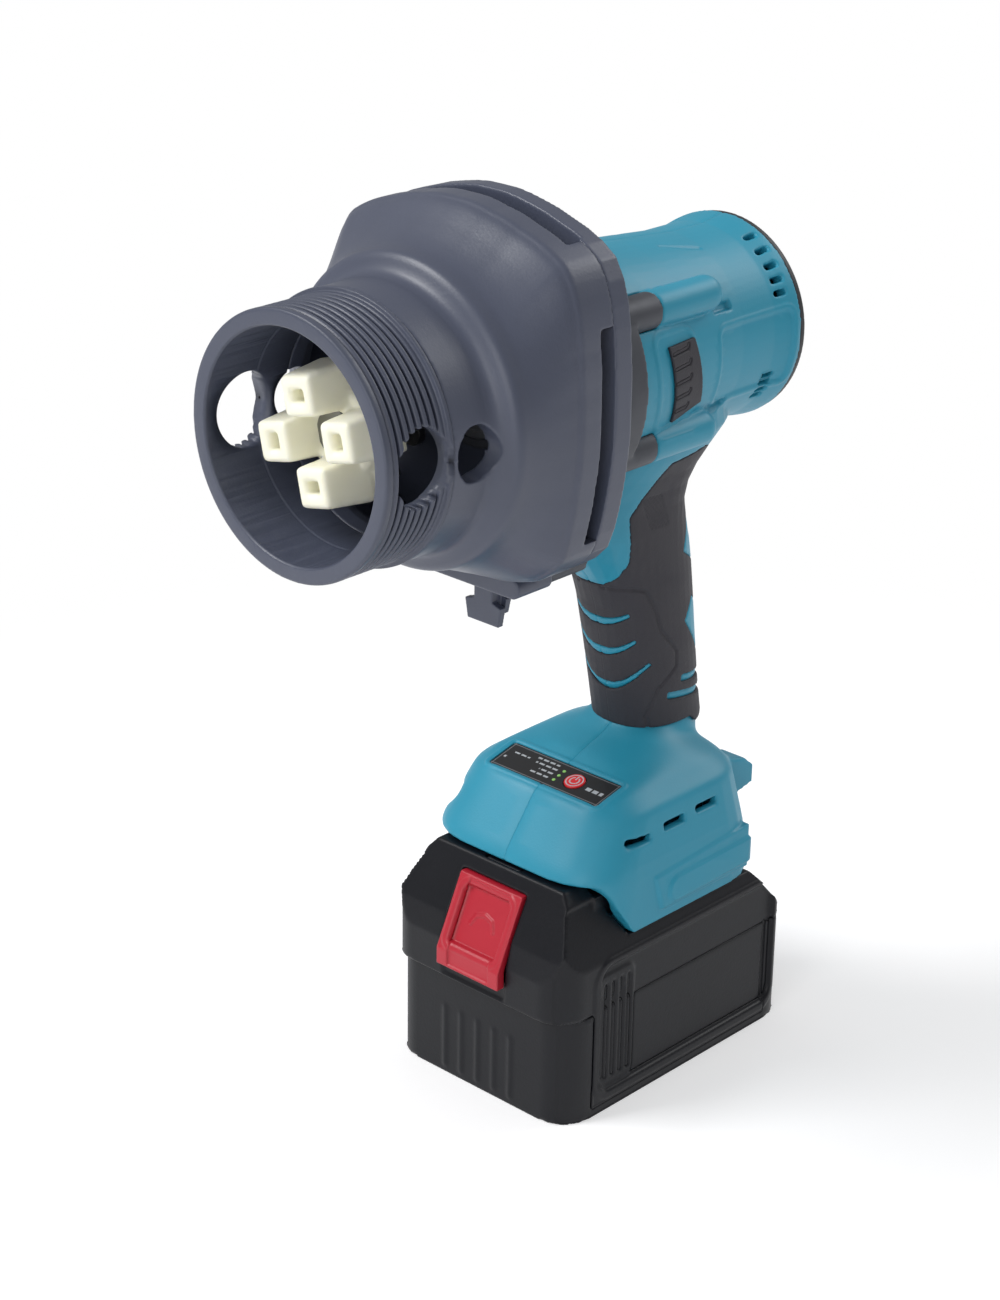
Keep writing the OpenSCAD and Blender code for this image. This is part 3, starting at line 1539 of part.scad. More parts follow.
cell_gap = 0.2;
cell_n = floor((pack_l - 2 * pack_wall) / (2 * (cell_r + cell_gap)));
strap_t = 0.4;
cell_l = pack_w - 2 * (pack_wall + strap_t + cell_end_gap);

module at_cells() {
    for (i = [0:cell_n - 1], layer = [0, 1]) translate([
        0, (i - (cell_n - 1) / 2) * 2 * (cell_r + cell_gap),
        pack_wall + cell_r + layer * (2 * cell_r + cell_gap)
    ]) children();
}

module battery_cells() color("#3d7fae") {
    at_cells() rotate([0, 90, 0]) cylinder(h = cell_l, r = cell_r, center = true);
}

strap_w = 8;

module cell_straps() color("silver") {
    for (x = [-cell_l / 2 - strap_t, cell_l / 2], i = [0:cell_n - 1])
        translate([x, (i - (cell_n - 1) / 2) * 2 * (cell_r + cell_gap) - strap_w / 2, pack_wall + cell_r / 2])
            cube([strap_t, strap_w, 3 * cell_r]);
}

contact_t = 0.6;
contact_l = 7;
pack_board_y = -18;

module pack_board() color("#2e6b45") {
    hw = rail_hw + pack_wall / 2;
    translate([-hw, pack_board_y, pack_h - 2 * pack_wall - board_t])
        cube([2 * hw, rail_rear_y - pack_board_y, board_t]);
}

module pack_contacts() color("#c9a648") {
    z = pack_h - 2 * pack_wall;
    at_blades() for (x = [-contact_t - slide_gap - blade_t / 2, slide_gap + blade_t / 2])
        translate([x, channel_rear_y - terminal_l - blade_l + contact_t, z])
            cube([contact_t, contact_l, blade_z + blade_h - 2 * cut - z]);
}

// Coil spring as a skin over rings that wind about a line
module release_spring() color("silver") {
    steps = 12;
    n = spring_turns * steps;
    rise = spring_h - 2 * spring_wire_r;
    translate([0, spring_y, spring_z + spring_wire_r]) skin([
        for (k = [0:n])
            let (a = 360 * k / steps, z = rise * k / n)
                [for (j = [0:5]) let (b = 60 * j, r = spring_r - spring_wire_r + spring_wire_r * cos(b))
                    [r * cos(a), r * sin(a), z + spring_wire_r * sin(b)]]
    ]);
}

threaded_collar();
front_cover();
cover_screws();
back_plate();
hook_clip();
socket_driver();
driver_screw();
output_shaft();
output_bearing();
gear_case();
gear_case_screws();
ring_gear();
planet_carrier();
planet_pins();
planet_gear_1();
planet_gear_2();
planet_gear_3();
sun_gear();
motor_plate();
motor_bearing();
rotor_shaft();
rotor_core();
rotor_magnets();
stator_core();
stator_windings();
cooling_fan();
rear_bearing();
rear_cap();
housing_right();
housing_left();
housing_screws();
grip_right();
grip_left();
side_pad_right();
side_pad_left();
motor_leads();
control_board();
button_switch();
label_panel();
power_button();
indicator_lights();
terminal_block();
terminal_blades();
pack_upper_case();
pack_lower_case();
pack_screws();
battery_cells();
cell_straps();
pack_board();
pack_contacts();
release_button();
release_spring();
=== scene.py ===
import math

import bmesh
import bpy
import numpy as np
from bpy.props import (
    FloatProperty, FloatVectorProperty, IntProperty, PointerProperty)
from mathutils import Matrix, Vector


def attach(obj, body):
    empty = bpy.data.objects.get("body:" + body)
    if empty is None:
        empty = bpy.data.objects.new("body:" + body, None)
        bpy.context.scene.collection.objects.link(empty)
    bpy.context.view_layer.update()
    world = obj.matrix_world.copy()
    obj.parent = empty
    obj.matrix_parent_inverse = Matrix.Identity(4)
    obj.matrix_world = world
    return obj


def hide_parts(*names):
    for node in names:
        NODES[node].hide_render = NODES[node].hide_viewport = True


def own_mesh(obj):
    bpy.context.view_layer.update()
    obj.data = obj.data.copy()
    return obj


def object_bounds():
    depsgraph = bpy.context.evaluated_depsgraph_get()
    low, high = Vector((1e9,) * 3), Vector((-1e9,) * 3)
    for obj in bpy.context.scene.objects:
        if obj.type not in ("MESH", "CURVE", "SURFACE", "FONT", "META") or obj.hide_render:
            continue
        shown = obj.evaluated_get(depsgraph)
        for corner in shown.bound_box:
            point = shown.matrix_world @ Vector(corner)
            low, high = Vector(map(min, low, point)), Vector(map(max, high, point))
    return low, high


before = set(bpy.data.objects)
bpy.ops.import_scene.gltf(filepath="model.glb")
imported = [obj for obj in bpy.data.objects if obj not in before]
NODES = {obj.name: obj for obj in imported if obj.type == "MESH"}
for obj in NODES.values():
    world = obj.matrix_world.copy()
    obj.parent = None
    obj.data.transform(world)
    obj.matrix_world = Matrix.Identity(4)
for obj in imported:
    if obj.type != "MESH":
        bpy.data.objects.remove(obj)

bl_info = {
    "name": "Handheld rotary drive tool",
    "version": (1, 0, 0),
    "blender": (4, 5, 0),
    "location": "3D View > Sidebar > Drive tool",
    "description": "Dresses the packed drive tool with its mouldings, finishes and studio stage",
    "category": "Object",
}

CAD_LOW, CAD_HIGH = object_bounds()
MM = 0.001
WELD = 0.01
WHITE = (1, 1, 1, 1)
# Where the lamps look, how far the floor reaches and how far below the tool it lies, in metres
TOOL_MIDDLE = (0, -0.03, 0.16)
FLOOR_REACH = 6
FLOOR_GAP = 0.0001
# Places in mm: height of the drive axis, depths of the mouth, the plate and the windows
AXIS_Z = 231.5
MOUTH_Y = -131.0
PLATE_Y = -54.5
WINDOW_Y = -116.75
NECK_WINDOW_Y = -98.15
# The windows' half width, and how many times as high as wide they are
WINDOW_SIZE = (9.75, 1.14)
NECK_WINDOW_SIZE = (7.25, 1.1)
# The release button is its dark stem behind this depth and above this height
STEM_Y = -46.0
STEM_Z = 70.9
# The control panel: slope, half width and half depth, height of its film, corner
PANEL_SLOPE = math.radians(13)
SLOPE_COS, SLOPE_SIN = math.cos(PANEL_SLOPE), math.sin(PANEL_SLOPE)
PANEL_HALF = (22.5, 6.3)
PANEL_TOP = 2.75
PANEL_CORNER = 1.0
# The panel's printed border: how far in it lies, half its width
BORDER_INSET, BORDER_HALF = 0.8, 0.16
# The step between dashes and the share of it that is printed
DASH_STEP, DASH_SHARE = 2.7, 0.74
# The power sign: radius and half the width of its line; radius of the ring round it
SIGN_R, SIGN_LINE, BUTTON_RIM_R = 1.55, 0.24, 2.75
# Plain dashes on the panel: from, to, level along the slope, half height
PANEL_DASHES = ((-19.4, -12.6, 2.2, 0.35), (-10.4, -1.4, 3.9, 0.38), (-9.6, -0.6, 1.8, 0.38),
                (-6.4, -0.4, -0.4, 0.38), (-8.2, -0.8, -2.6, 0.38), (12.8, 20.2, -0.7, 0.75),
                (-20.8, -19.9, -1.0, 0.45))


# ---------------- settings

def colour(name, description, value):
    """A colour setting, given as display values and kept as linear light."""
    linear = [v / 12.92 if v <= 0.04045 else ((v + 0.055) / 1.055) ** 2.4 for v in value]
    return FloatVectorProperty(name=name, description=description, subtype="COLOR",
                               size=3, min=0, max=1, default=linear)


def length(name, description, value):
    """A length setting in metres."""
    return FloatProperty(name=name, description=description, subtype="DISTANCE",
                         unit="LENGTH", default=value)


def angle(name, description, degrees):
    """An angle setting, given in degrees."""
    return FloatProperty(name=name, description=description, subtype="ANGLE",
                         default=math.radians(degrees))


def strength(name, description, value):
    """The strength of a light."""
    return FloatProperty(name=name, description=description, default=value, min=0)


class DriveColours(bpy.types.PropertyGroup):
    """The colours that the mouldings and parts are made in."""
    cover: colour("Cover", "Filled nylon of the cover, collar and plate", (0.285, 0.305, 0.37))
    shell: colour("Shell", "Teal housing plastic", (0.145, 0.56, 0.67))
    # A darker teal meant as painted shade in the recesses; no part is given it
    shell_recess_shade: colour("Shell recess", "Teal in the recesses", (0.18, 0.45, 0.54))
    rubber: colour("Grip", "Soft overmoulded grip", (0.215, 0.21, 0.235))
    pack: colour("Pack", "Battery pack plastic", (0.04, 0.047, 0.075))
    release: colour("Release", "Red release button", (0.70, 0.12, 0.19))
    driver: colour("Driver", "Cast nylon of the socket driver", (0.975, 0.965, 0.885))
    label: colour("Label", "Black control panel film", (0.10, 0.10, 0.11))
    print_ink: colour("Panel marks", "Pale marks on the control panel", (0.72, 0.74, 0.76))
    power: colour("Power button", "Red of the power button", (0.86, 0.13, 0.16))
    steel: colour("Steel", "Ground and turned steel", (0.66, 0.67, 0.68))
    zinc: colour("Screws", "Zinc-plated screw heads", (0.55, 0.55, 0.54))
    copper: colour("Copper", "Enamelled winding wire", (0.72, 0.36, 0.18))
    brass: colour("Contacts", "Plated contacts", (0.80, 0.70, 0.42))
    board: colour("Board", "Circuit board mask", (0.07, 0.27, 0.17))
    cell: colour("Cells", "Cell sleeves", (0.16, 0.42, 0.36))
    floor: colour("Floor", "Studio floor", (0.93, 0.93, 0.935))


class DriveSizes(bpy.types.PropertyGroup):
    """The sizes of the collar and its thread."""
    collar_radius: length("Collar radius", "Over the lip and the thread's crests", 0.038)
    bore_radius: length("Bore radius", "Inside the collar", 0.03275)
    thread_depth: length("Thread depth", "From crest to root", 0.0017)
    thread_pitch: length("Thread pitch", "From crest to crest", 0.0025)
    thread_count: IntProperty(name="Thread ridges", description="Number of ridges",
                              default=8, min=1, max=9)


class DriveStage(bpy.types.PropertyGroup):
    """Where the camera stands and how strong the lamps are."""
    azimuth: angle("Azimuth", "Camera angle round the tool", 43.02)
    elevation: angle("Elevation", "Camera angle above the floor", 23.23)
    roll: angle("Roll", "Camera roll", 0.86)
    distance: length("Distance", "Camera distance from its target", 0.85068)
    target: FloatVectorProperty(name="Target", description="Point the camera looks at",
                                subtype="XYZ", unit="LENGTH", default=(0, -0.04676, 0.14775))
    lens: FloatProperty(name="Lens", description="Focal length in millimetres",
                        default=79.33, min=20, max=300)
    key: strength("Key", "Key lamp power in watts", 17.0)
    fill: strength("Fill", "Fill lamp power in watts", 5.0)
    rim: strength("Rim", "Rear lamp power in watts", 8.0)
    sky: strength("Sky", "Strength of the world light", 0.38)


# ---------------- materials

class Wire:
    """A value on its way between nodes, so that node maths reads as sums."""

    def __init__(self, nodes, socket):
        self.nodes, self.socket = nodes, socket

    def _sum(self, operation, other, swap=False):
        pair = (other, self) if swap else (self, other)
        return self.nodes.maths(operation, *pair)

    def __add__(self, other): return self._sum("ADD", other)
    def __radd__(self, other): return self._sum("ADD", other, True)
    def __sub__(self, other): return self._sum("SUBTRACT", other)
    def __rsub__(self, other): return self._sum("SUBTRACT", other, True)
    def __mul__(self, other): return self._sum("MULTIPLY", other)
    def __truediv__(self, other): return self._sum("DIVIDE", other)
    def __lt__(self, other): return self._sum("LESS_THAN", other)
    def __gt__(self, other): return self._sum("GREATER_THAN", other)
    def __abs__(self): return self.nodes.maths("ABSOLUTE", self)


class Nodes:
    """A node tree that is filled with plain calls."""

    def __init__(self, tree):
        self.tree = tree
        tree.nodes.clear()

    def node(self, kind, sockets=None, **settings):
        """Adds a node, sets its settings first and then fills or links its sockets."""
        made = self.tree.nodes.new(kind)
        for key, value in settings.items():
            setattr(made, key, value)
        for key, value in (sockets or {}).items():
            if isinstance(value, Wire):
                self.tree.links.new(value.socket, made.inputs[key])
            else:
                made.inputs[key].default_value = value
        return made

    def wire(self, kind, sockets=None, output=0, **settings):
        """Adds a node and gives the wire that leaves it."""
        return Wire(self, self.node(kind, sockets, **settings).outputs[output])

    def wires(self, kind, names, sockets=None):
        """Adds a node and gives the wires that leave its named outputs."""
        made = self.node(kind, sockets)
        return [Wire(self, made.outputs[name]) for name in names]

    def maths(self, operation, *values):
        return self.wire("ShaderNodeMath", dict(enumerate(values)), operation=operation)


class Finish(Nodes):
    """One node material."""

    def __init__(self, name):
        self.material = bpy.data.materials.new(name)
        self.material.use_nodes = True
        super().__init__(self.material.node_tree)
        self.place = self.wire("ShaderNodeTexCoord", output="Object")

    def noise(self, scale, detail=2.0, roughness=0.5, stretch=None):
        """Cloudy noise, finer along an axis where stretch is over 1."""
        place = self.place
        if stretch:
            place = self.wire("ShaderNodeMapping", {"Vector": place, "Scale": stretch})
        return self.wire("ShaderNodeTexNoise", {
            "Vector": place, "Scale": scale, "Detail": detail, "Roughness": roughness}, "Fac")

    def cells(self, scale, feature="F1"):
        """Distances in a pattern of cells."""
        return self.wire("ShaderNodeTexVoronoi", {"Vector": self.place, "Scale": scale},
                         "Distance", feature=feature)

    def step(self, value, low, high):
        """A smooth step of value from 0 at low to 1 at high."""
        return self.wire("ShaderNodeMapRange", {0: value, 1: low, 2: high},
                         interpolation_type="SMOOTHSTEP")

    def mix(self, share, first, second):
        """A colour between two, by share."""
        ends = [c if isinstance(c, Wire) else (*c[:3], 1.0) for c in (first, second)]
        return self.wire("ShaderNodeMix", {0: share, 6: ends[0], 7: ends[1]}, 2,
                         data_type="RGBA")

    def bump(self, height, depth, strength=1.0, soften=0.0):
        """A Bump of the given depth in metres, over rounded edges where soften is given."""
        sockets = {"Height": height, "Distance": depth, "Strength": strength}
        if soften:
            sockets["Normal"] = self.wire("ShaderNodeBevel", {"Radius": soften}, samples=6)
        return self.wire("ShaderNodeBump", sockets)

    def surface(self, base, rough, normal, metallic=0.0, **fixed):
        """Closes the material with a Principled surface."""
        sockets = {"Roughness": rough, "Metallic": metallic, "Base Color": base,
                   "Normal": normal}
        sockets.update({k.replace("_", " "): v for k, v in fixed.items()})
        self.node("ShaderNodeOutputMaterial",
                  {0: self.wire("ShaderNodeBsdfPrincipled", sockets)})
        return self.material


def tone(rgb, share):
    """The same colour, lighter or darker."""
    return tuple(min(1.0, c * share) for c in rgb)


def moulded(name, rgb, rough, grain, depth, soften=0.00035, scuff=0.35, gleam=0.5):
    """Moulded plastic: fine spark-eroded grain, faint clouding, rubbed patches."""
    m = Finish(name)
    fine = m.noise(grain, 3.0, 0.6)
    cloud = m.noise(38.0, 4.0, 0.6)
    flow = m.noise(14.0, 3.0, 0.55, stretch=(1.0, 1.0, 3.5))
    rub = m.step(m.noise(90.0, 5.0, 0.65, stretch=(1.0, 2.4, 0.8)), 0.60, 0.74)
    base = m.mix(cloud * 0.55 + flow * 0.45, tone(rgb, 0.90), tone(rgb, 1.10))
    base = m.mix(rub * scuff * 0.35, base, tone(rgb, 1.35))
    base = m.mix(m.step(fine, 0.62, 0.8) * 0.25, base, tone(rgb, 0.7))
    gloss = rough + (cloud - 0.5) * 0.12 + rub * 0.06 * scuff
    return m.surface(base, gloss, m.bump(fine, depth, 0.6, soften=soften),
                     Specular_IOR_Level=gleam)


def soft_rubber(name, rgb):
    """Overmoulded elastomer: dry, with a tight pebble and a faint dusting."""
    m = Finish(name)
    pebble = m.cells(1500.0)
    fine = m.noise(900.0, 3.0, 0.6)
    dust = m.step(m.noise(55.0, 5.0, 0.7), 0.45, 0.75)
    base = m.mix(dust * 0.5, tone(rgb, 0.88), tone(rgb, 1.25))
    base = m.mix(fine * 0.2, base, tone(rgb, 0.7))
    return m.surface(base, 0.62 + dust * 0.14,
                     m.bump(pebble * 0.6 + fine * 0.4, 0.00012, 0.6, soften=0.0005),
                     Specular_IOR_Level=0.4)


def cast_nylon(name, rgb):
    """Unfilled nylon: waxy and a little translucent, with milky flow clouds."""
    m = Finish(name)
    milk = m.noise(60.0, 4.0, 0.55)
    flow = m.noise(25.0, stretch=(1.0, 0.35, 1.0))
    fine = m.noise(700.0)
    base = m.mix(milk * 0.7 + flow * 0.3, tone(rgb, 0.93), tone(rgb, 1.06))
    return m.surface(base, 0.38 + fine * 0.12, m.bump(fine, 0.00005, 0.4, soften=0.0006),
                     Specular_IOR_Level=0.5, Subsurface_Weight=0.22, Subsurface_Scale=0.004,
                     Subsurface_Radius=(1.0, 0.9, 0.6))


def turned_metal(name, rgb, rough=0.3, metallic=1.0, grain=(1.0, 14.0, 1.0)):
    """Machined metal: fine tool lines across the turning axis, a few stains."""
    m = Finish(name)
    lines = m.noise(420.0, 3.0, 0.6, stretch=grain)
    stain = m.step(m.noise(70.0, 4.0, 0.6), 0.5, 0.78)
    base = m.mix(lines * 0.5, tone(rgb, 0.86), tone(rgb, 1.08))
    base = m.mix(stain * 0.35, base, tone(rgb, 0.72))
    return m.surface(base, rough + lines * 0.12 + stain * 0.1,
                     m.bump(lines, 0.00004, 0.5, soften=0.0002), metallic)


def wound_wire(name, rgb):
    """Enamelled copper turns, lying side by side, with painted shading: lighter crests and darker
    grooves between the turns.
    """
    m = Finish(name)
    turns = m.wire("ShaderNodeTexWave", {"Vector": m.place, "Scale": 320.0, "Distortion": 1.2},
                   "Fac", wave_type="BANDS", bands_direction="X")
    # Painted shading: each turn lighter on its crest and darker in the grooves, following the
    # bump's bands
    base = m.mix(turns, tone(rgb, 0.55), tone(rgb, 1.1))
    return m.surface(base, 0.28 + turns * 0.1, m.bump(turns, 0.0003, 0.8), 0.85)


def circuit_board(name, rgb):
    """Solder mask with traces and pads under it."""
    m = Finish(name)
    traces = m.step(m.cells(260.0, "DISTANCE_TO_EDGE"), 0.02, 0.07)
    fibre = m.noise(900.0)
    base = m.mix(traces, tone(rgb, 1.7), tone(rgb, 0.9))
    return m.surface(base, 0.3 + fibre * 0.1, m.bump(traces * -1.0, 0.00004, 0.6))


def sleeved_cell(name, rgb):
    """Shrink sleeve on the cells, with faint wrinkles."""
    m = Finish(name)
    wrinkle = m.noise(160.0, 3.0, 0.5, stretch=(0.2, 1.0, 1.0))
    base = m.mix(wrinkle, tone(rgb, 0.85), tone(rgb, 1.12))
    return m.surface(base, 0.32 + wrinkle * 0.1, m.bump(wrinkle, 0.0001, 0.5))


def centre_of(node):
    """The middle of a node's box, in metres."""
    corners = [NODES[node].matrix_world @ Vector(c) for c in NODES[node].bound_box]
    return [(min(c[k] for c in corners) + max(c[k] for c in corners)) / 2 for k in range(3)]


def along_panel(node):
    """How far up the panel's slope a node lies from the panel's middle, in metres."""
    here, panel = centre_of(node), centre_of("label_panel")
    return (here[1] - panel[1]) * SLOPE_COS + (here[2] - panel[2]) * SLOPE_SIN


def panel_place(m):
    """Across and along the sloping panel, in millimetres from the panel's middle."""
    mid = centre_of("label_panel")
    x, y, z = m.wires("ShaderNodeSeparateXYZ", "XYZ", {0: m.place})
    along = (y - mid[1]) * SLOPE_COS + (z - mid[2]) * SLOPE_SIN
    return (x - mid[0]) / MM, along / MM


def printed_panel(name, rgb, ink):
    """Dark panel film with rows of plain printed dashes."""
    m = Finish(name)
    across, along = panel_place(m)
    fine = m.noise(2200.0)
    marks = 0.0
    for x0, x1, level, half in PANEL_DASHES:
        row = (abs(across - (x0 + x1) / 2) < (x1 - x0) / 2) * (abs(along - level) < half)
        gaps = m.maths("FRACT", across / DASH_STEP) < DASH_SHARE
        marks = row * gaps + marks
    lines = [abs(abs(at) - (half - BORDER_INSET)) < BORDER_HALF
             for at, half in zip((across, along), PANEL_HALF)]
    border = m.maths("MAXIMUM", *lines)
    ink_share = m.maths("MINIMUM", marks + border * 0.35, 1.0)
    base = m.mix(fine, tone(rgb, 0.8), tone(rgb, 1.15))
    base = m.mix(ink_share * 0.9, base, ink)
    return m.surface(base, 0.36 + fine * 0.1, m.bump(fine, 0.00003, 0.4, soften=0.0003),
                     Coat_Weight=0.1)


def printed_button(name, rgb, ink):
    """Red cap with a pale ring, a broken circle and a stroke."""
    m = Finish(name)
    across, along = panel_place(m)
    across = across - (centre_of("power_button")[0] - centre_of("label_panel")[0]) / MM
    along = along - along_panel("power_button") / MM
    reach = m.maths("POWER", across * across + along * along, 0.5)
    gap = (abs(across) < 0.75) * (along > 0.0)
    sign = (abs(reach - SIGN_R) < SIGN_LINE) * (1.0 - gap)
    stroke = (abs(across) < SIGN_LINE) * (abs(along - 1.35) < 0.95)
    rim = abs(reach - BUTTON_RIM_R) < 0.2
    ink_share = m.maths("MINIMUM", sign + stroke + rim, 1.0)
    fine = m.noise(1600.0)
    base = m.mix(ink_share * 0.9, m.mix(fine, tone(rgb, 0.85), tone(rgb, 1.12)), ink)
    return m.surface(base, 0.34 + fine * 0.08, m.bump(fine, 0.00003, 0.4, soften=0.0003),
                     Coat_Weight=0.2)


def lamp_lens(name):
    """Clear green lens of an indicator light."""
    m = Finish(name)
    core = m.noise(1200.0, 1.0, 0.5)
    base = m.mix(core, (0.20, 0.50, 0.10), (0.36, 0.72, 0.20))
    return m.surface(base, 0.22 + core * 0.08, m.bump(core, 0.00003, 0.3),
                     Coat_Weight=0.4)


def make_finishes():
    """Every finish of the tool, by its short name."""
    c = bpy.context.scene.drive_colours
    return {
        "cover": moulded("cover_nylon", c.cover, 0.40, 1100.0, 0.00007),
        "thread": moulded("collar_nylon", tone(c.cover, 0.92), 0.42, 1300.0, 0.00006,
                          soften=0.0001),
        "shell": moulded("housing_plastic", c.shell, 0.46, 1500.0, 0.00006, scuff=0.2),
        "pack": moulded("pack_plastic", c.pack, 0.40, 1200.0, 0.00007, scuff=0.4, gleam=0.3),
        "release": moulded("release_plastic", c.release, 0.40, 1300.0, 0.00006),
        "dark": moulded("black_plastic", (0.02, 0.021, 0.024), 0.5, 1200.0, 0.00007),
        "fan": moulded("fan_plastic", (0.03, 0.03, 0.032), 0.45, 1400.0, 0.00005),
        "lead": moulded("lead_sleeve", (0.45, 0.03, 0.03), 0.42, 900.0, 0.00004),
        "power": printed_button("power_button_plastic", c.power, c.print_ink),
        "label": printed_panel("panel_film", c.label, c.print_ink),
        "rubber": soft_rubber("grip_rubber", c.rubber),
        "driver": cast_nylon("driver_nylon", c.driver),
        "cast": turned_metal("die_cast_case", (0.075, 0.08, 0.095), 0.46, 0.35, (1, 1, 1)),
        "steel": turned_metal("turned_steel", c.steel, 0.28),
        "screw": turned_metal("plated_screw", c.zinc, 0.34),
        "magnet": turned_metal("magnet_plating", (0.42, 0.42, 0.44), 0.35),
        "core": turned_metal("lamination_stack", (0.30, 0.31, 0.33), 0.45, 1.0, (1, 30, 1)),
        "copper": wound_wire("winding_wire", c.copper),
        "contact": turned_metal("contact_plating", c.brass, 0.3),
        "board": circuit_board("board_mask", c.board),
        "cell": sleeved_cell("cell_sleeve", c.cell),
        "lens": lamp_lens("indicator_lens"),
    }


FINISHES = {}
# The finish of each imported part
NODE_FINISH = {
    "cover": "front_cover back_plate hook_clip",
    "thread": "threaded_collar",
    "driver": "socket_driver",
    "screw": "cover_screws driver_screw gear_case_screws housing_screws pack_screws",
    "steel": ("output_shaft output_bearing planet_carrier planet_pins planet_gear_1 "
              "planet_gear_2 planet_gear_3 sun_gear ring_gear motor_bearing rotor_shaft "
              "rear_bearing motor_plate release_spring"),
    "cast": "gear_case",
    "core": "rotor_core stator_core",
    "magnet": "rotor_magnets",
    "copper": "stator_windings",
    "fan": "cooling_fan",
    "dark": "rear_cap button_switch terminal_block",
    "shell": "housing_right housing_left",
    "rubber": "grip_right grip_left side_pad_right side_pad_left",
    "lead": "motor_leads",
    "board": "control_board pack_board",
    "label": "label_panel",
    "power": "power_button",
    "lens": "indicator_lights",
    "contact": "terminal_blades cell_straps pack_contacts",
    "pack": "pack_upper_case pack_lower_case",
    "cell": "battery_cells",
    "release": "release_button",
}


def dress(obj, finish):
    """Gives an object one finish over its whole surface."""
    obj.data.materials.clear()
    obj.data.materials.append(FINISHES[finish])


# ---------------- mesh helpers

def welded(node, name):
    """A copy of a node with its loose triangles welded."""
    bm = bmesh.new()
    bm.from_mesh(NODES[node].data)
    bmesh.ops.remove_doubles(bm, verts=bm.verts, dist=WELD * MM)
    bmesh.ops.dissolve_degenerate(bm, edges=bm.edges, dist=WELD * MM)
    mesh = bpy.data.meshes.new(name)
    bm.to_mesh(mesh)
    bm.free()
    return linked(mesh, name)


def linked(data, name):
    """Puts a mesh, a lamp or a camera in the scene as an object at the origin."""
    obj = bpy.data.objects.new(name, data)
    bpy.context.scene.collection.objects.link(obj)
    return obj


def solid(name, points, faces):
    """An object from millimetre points and faces."""
    mesh = bpy.data.meshes.new(name)
    mesh.from_pydata([[v * MM for v in p] for p in points], [], faces)
    mesh.update()
    return linked(mesh, name)


def settle(obj):
    """Applies the modifiers of an object, so that it is a plain mesh."""
    graph = bpy.context.evaluated_depsgraph_get()
    mesh = bpy.data.meshes.new_from_object(obj.evaluated_get(graph))
    obj.modifiers.clear()
    obj.data = mesh
    return obj


def joined(first, *others):
    """One object with the meshes of several."""
    bm = bmesh.new()
    for part in (first, *others):
        bm.from_mesh(part.data)
    bm.to_mesh(first.data)
    bm.free()
    for part in others:
        bpy.data.objects.remove(part)
    return first


def cut_by(obj, tool, operation):
    """Cuts an object with a closed tool, which is used up."""
    mod = obj.modifiers.new("cut", "BOOLEAN")
    mod.operation, mod.solver, mod.object = operation, "MANIFOLD", tool
    settle(obj)
    bpy.data.objects.remove(tool)


def cut_away(obj, *tools):
    """Takes the tools' shapes out of an object."""
    for tool in tools:
        cut_by(obj, tool, "DIFFERENCE")
    return obj


def half_of(obj, name, side):
    """The part of a closed object that lies on one side of X = 0."""
    half = linked(obj.data.copy(), name)
    cut_by(half, block((min(0, side * 90), -160, -20), (max(0, side * 90), 120, 320)), "INTERSECT")
    shaded(half)
    return half


def shaded(obj):
    """Shades an object smooth."""
    obj.data.polygons.foreach_set("use_smooth", [True] * len(obj.data.polygons))


def block(low, high):
    """A plain box between two corners, used only to cut with."""
    points = [(x, y, z) for x in (low[0], high[0]) for y in (low[1], high[1])
              for z in (low[2], high[2])]
    return solid("cutter", points, [(0, 1, 3, 2), (4, 6, 7, 5), (0, 4, 5, 1),
                                    (2, 3, 7, 6), (0, 2, 6, 4), (1, 5, 7, 3)])


def circle(count):
    """Angles evenly round a circle."""
    return [2 * math.pi * i / count for i in range(count)]


def strips(rows, count, closed):
    """Faces between rows of points, and back to the first row where closed."""
    return [(k * count + i, k * count + (i + 1) % count,
             (k + 1) % rows * count + (i + 1) % count, (k + 1) % rows * count + i)
            for k in range(rows if closed else rows - 1) for i in range(count)]


def loft(name, rings):
    """A closed skin over rings of points, with fans at both ends."""
    count, last = len(rings[0]), len(rings) - 1
    ends = [tuple(range(count))[::-1], tuple(last * count + i for i in range(count))]
    return outward(solid(name, [p for ring in rings for p in ring],
                         strips(len(rings), count, False) + ends))


def outward(obj):
    """Turns the faces of a closed mesh outwards."""
    bm = bmesh.new()
    bm.from_mesh(obj.data)
    bmesh.ops.recalc_face_normals(bm, faces=bm.faces)
    bm.to_mesh(obj.data)
    bm.free()
    return obj


def lathe(name, profile, count=144):
    """Turns a closed profile of (radius, depth) about the drive axis."""
    points = [(r * math.cos(a), y, AXIS_Z + r * math.sin(a))
              for r, y in profile for a in circle(count)]
    return outward(solid(name, points, strips(len(profile), count, True)))


def bar(side, y, radius, tall):
    """A cutter along X for a window on one side of the drive axis, tall times as high as wide."""
    return loft("cutter", [[(x, y + radius * math.cos(a), AXIS_Z + tall * radius * math.sin(a))
                            for a in circle(64)] for x in sorted((25 * side, 45 * side))])


def neck_window(side):
    """The cutter for the small window in the neck on one side."""
    return bar(side, NECK_WINDOW_Y, *NECK_WINDOW_SIZE)


def smoothed(points, edges, rounds, weight=None):
    """Relaxes points along their edges, which rounds the corners of a dense mesh."""
    count = len(points)
    both = np.concatenate((edges, edges[:, ::-1]))
    pull = 0.5 if weight is None else 0.5 * weight[:, None]
    if weight is not None:
        both = both[weight[both[:, 0]] > 0]
    share = np.maximum(np.bincount(both[:, 0], minlength=count), 1)[:, None]
    for _ in range(rounds):
        near = np.stack([np.bincount(both[:, 0], points[both[:, 1], k], count)
                         for k in range(3)], 1)
        points = points + pull * (near / share - points)
    return points


def values_of(rows, name, width, kind=float):
    """One property of many elements, as the rows of an array."""
    flat = np.empty(len(rows) * width, kind)
    rows.foreach_get(name, flat)
    return flat.reshape(-1, width)


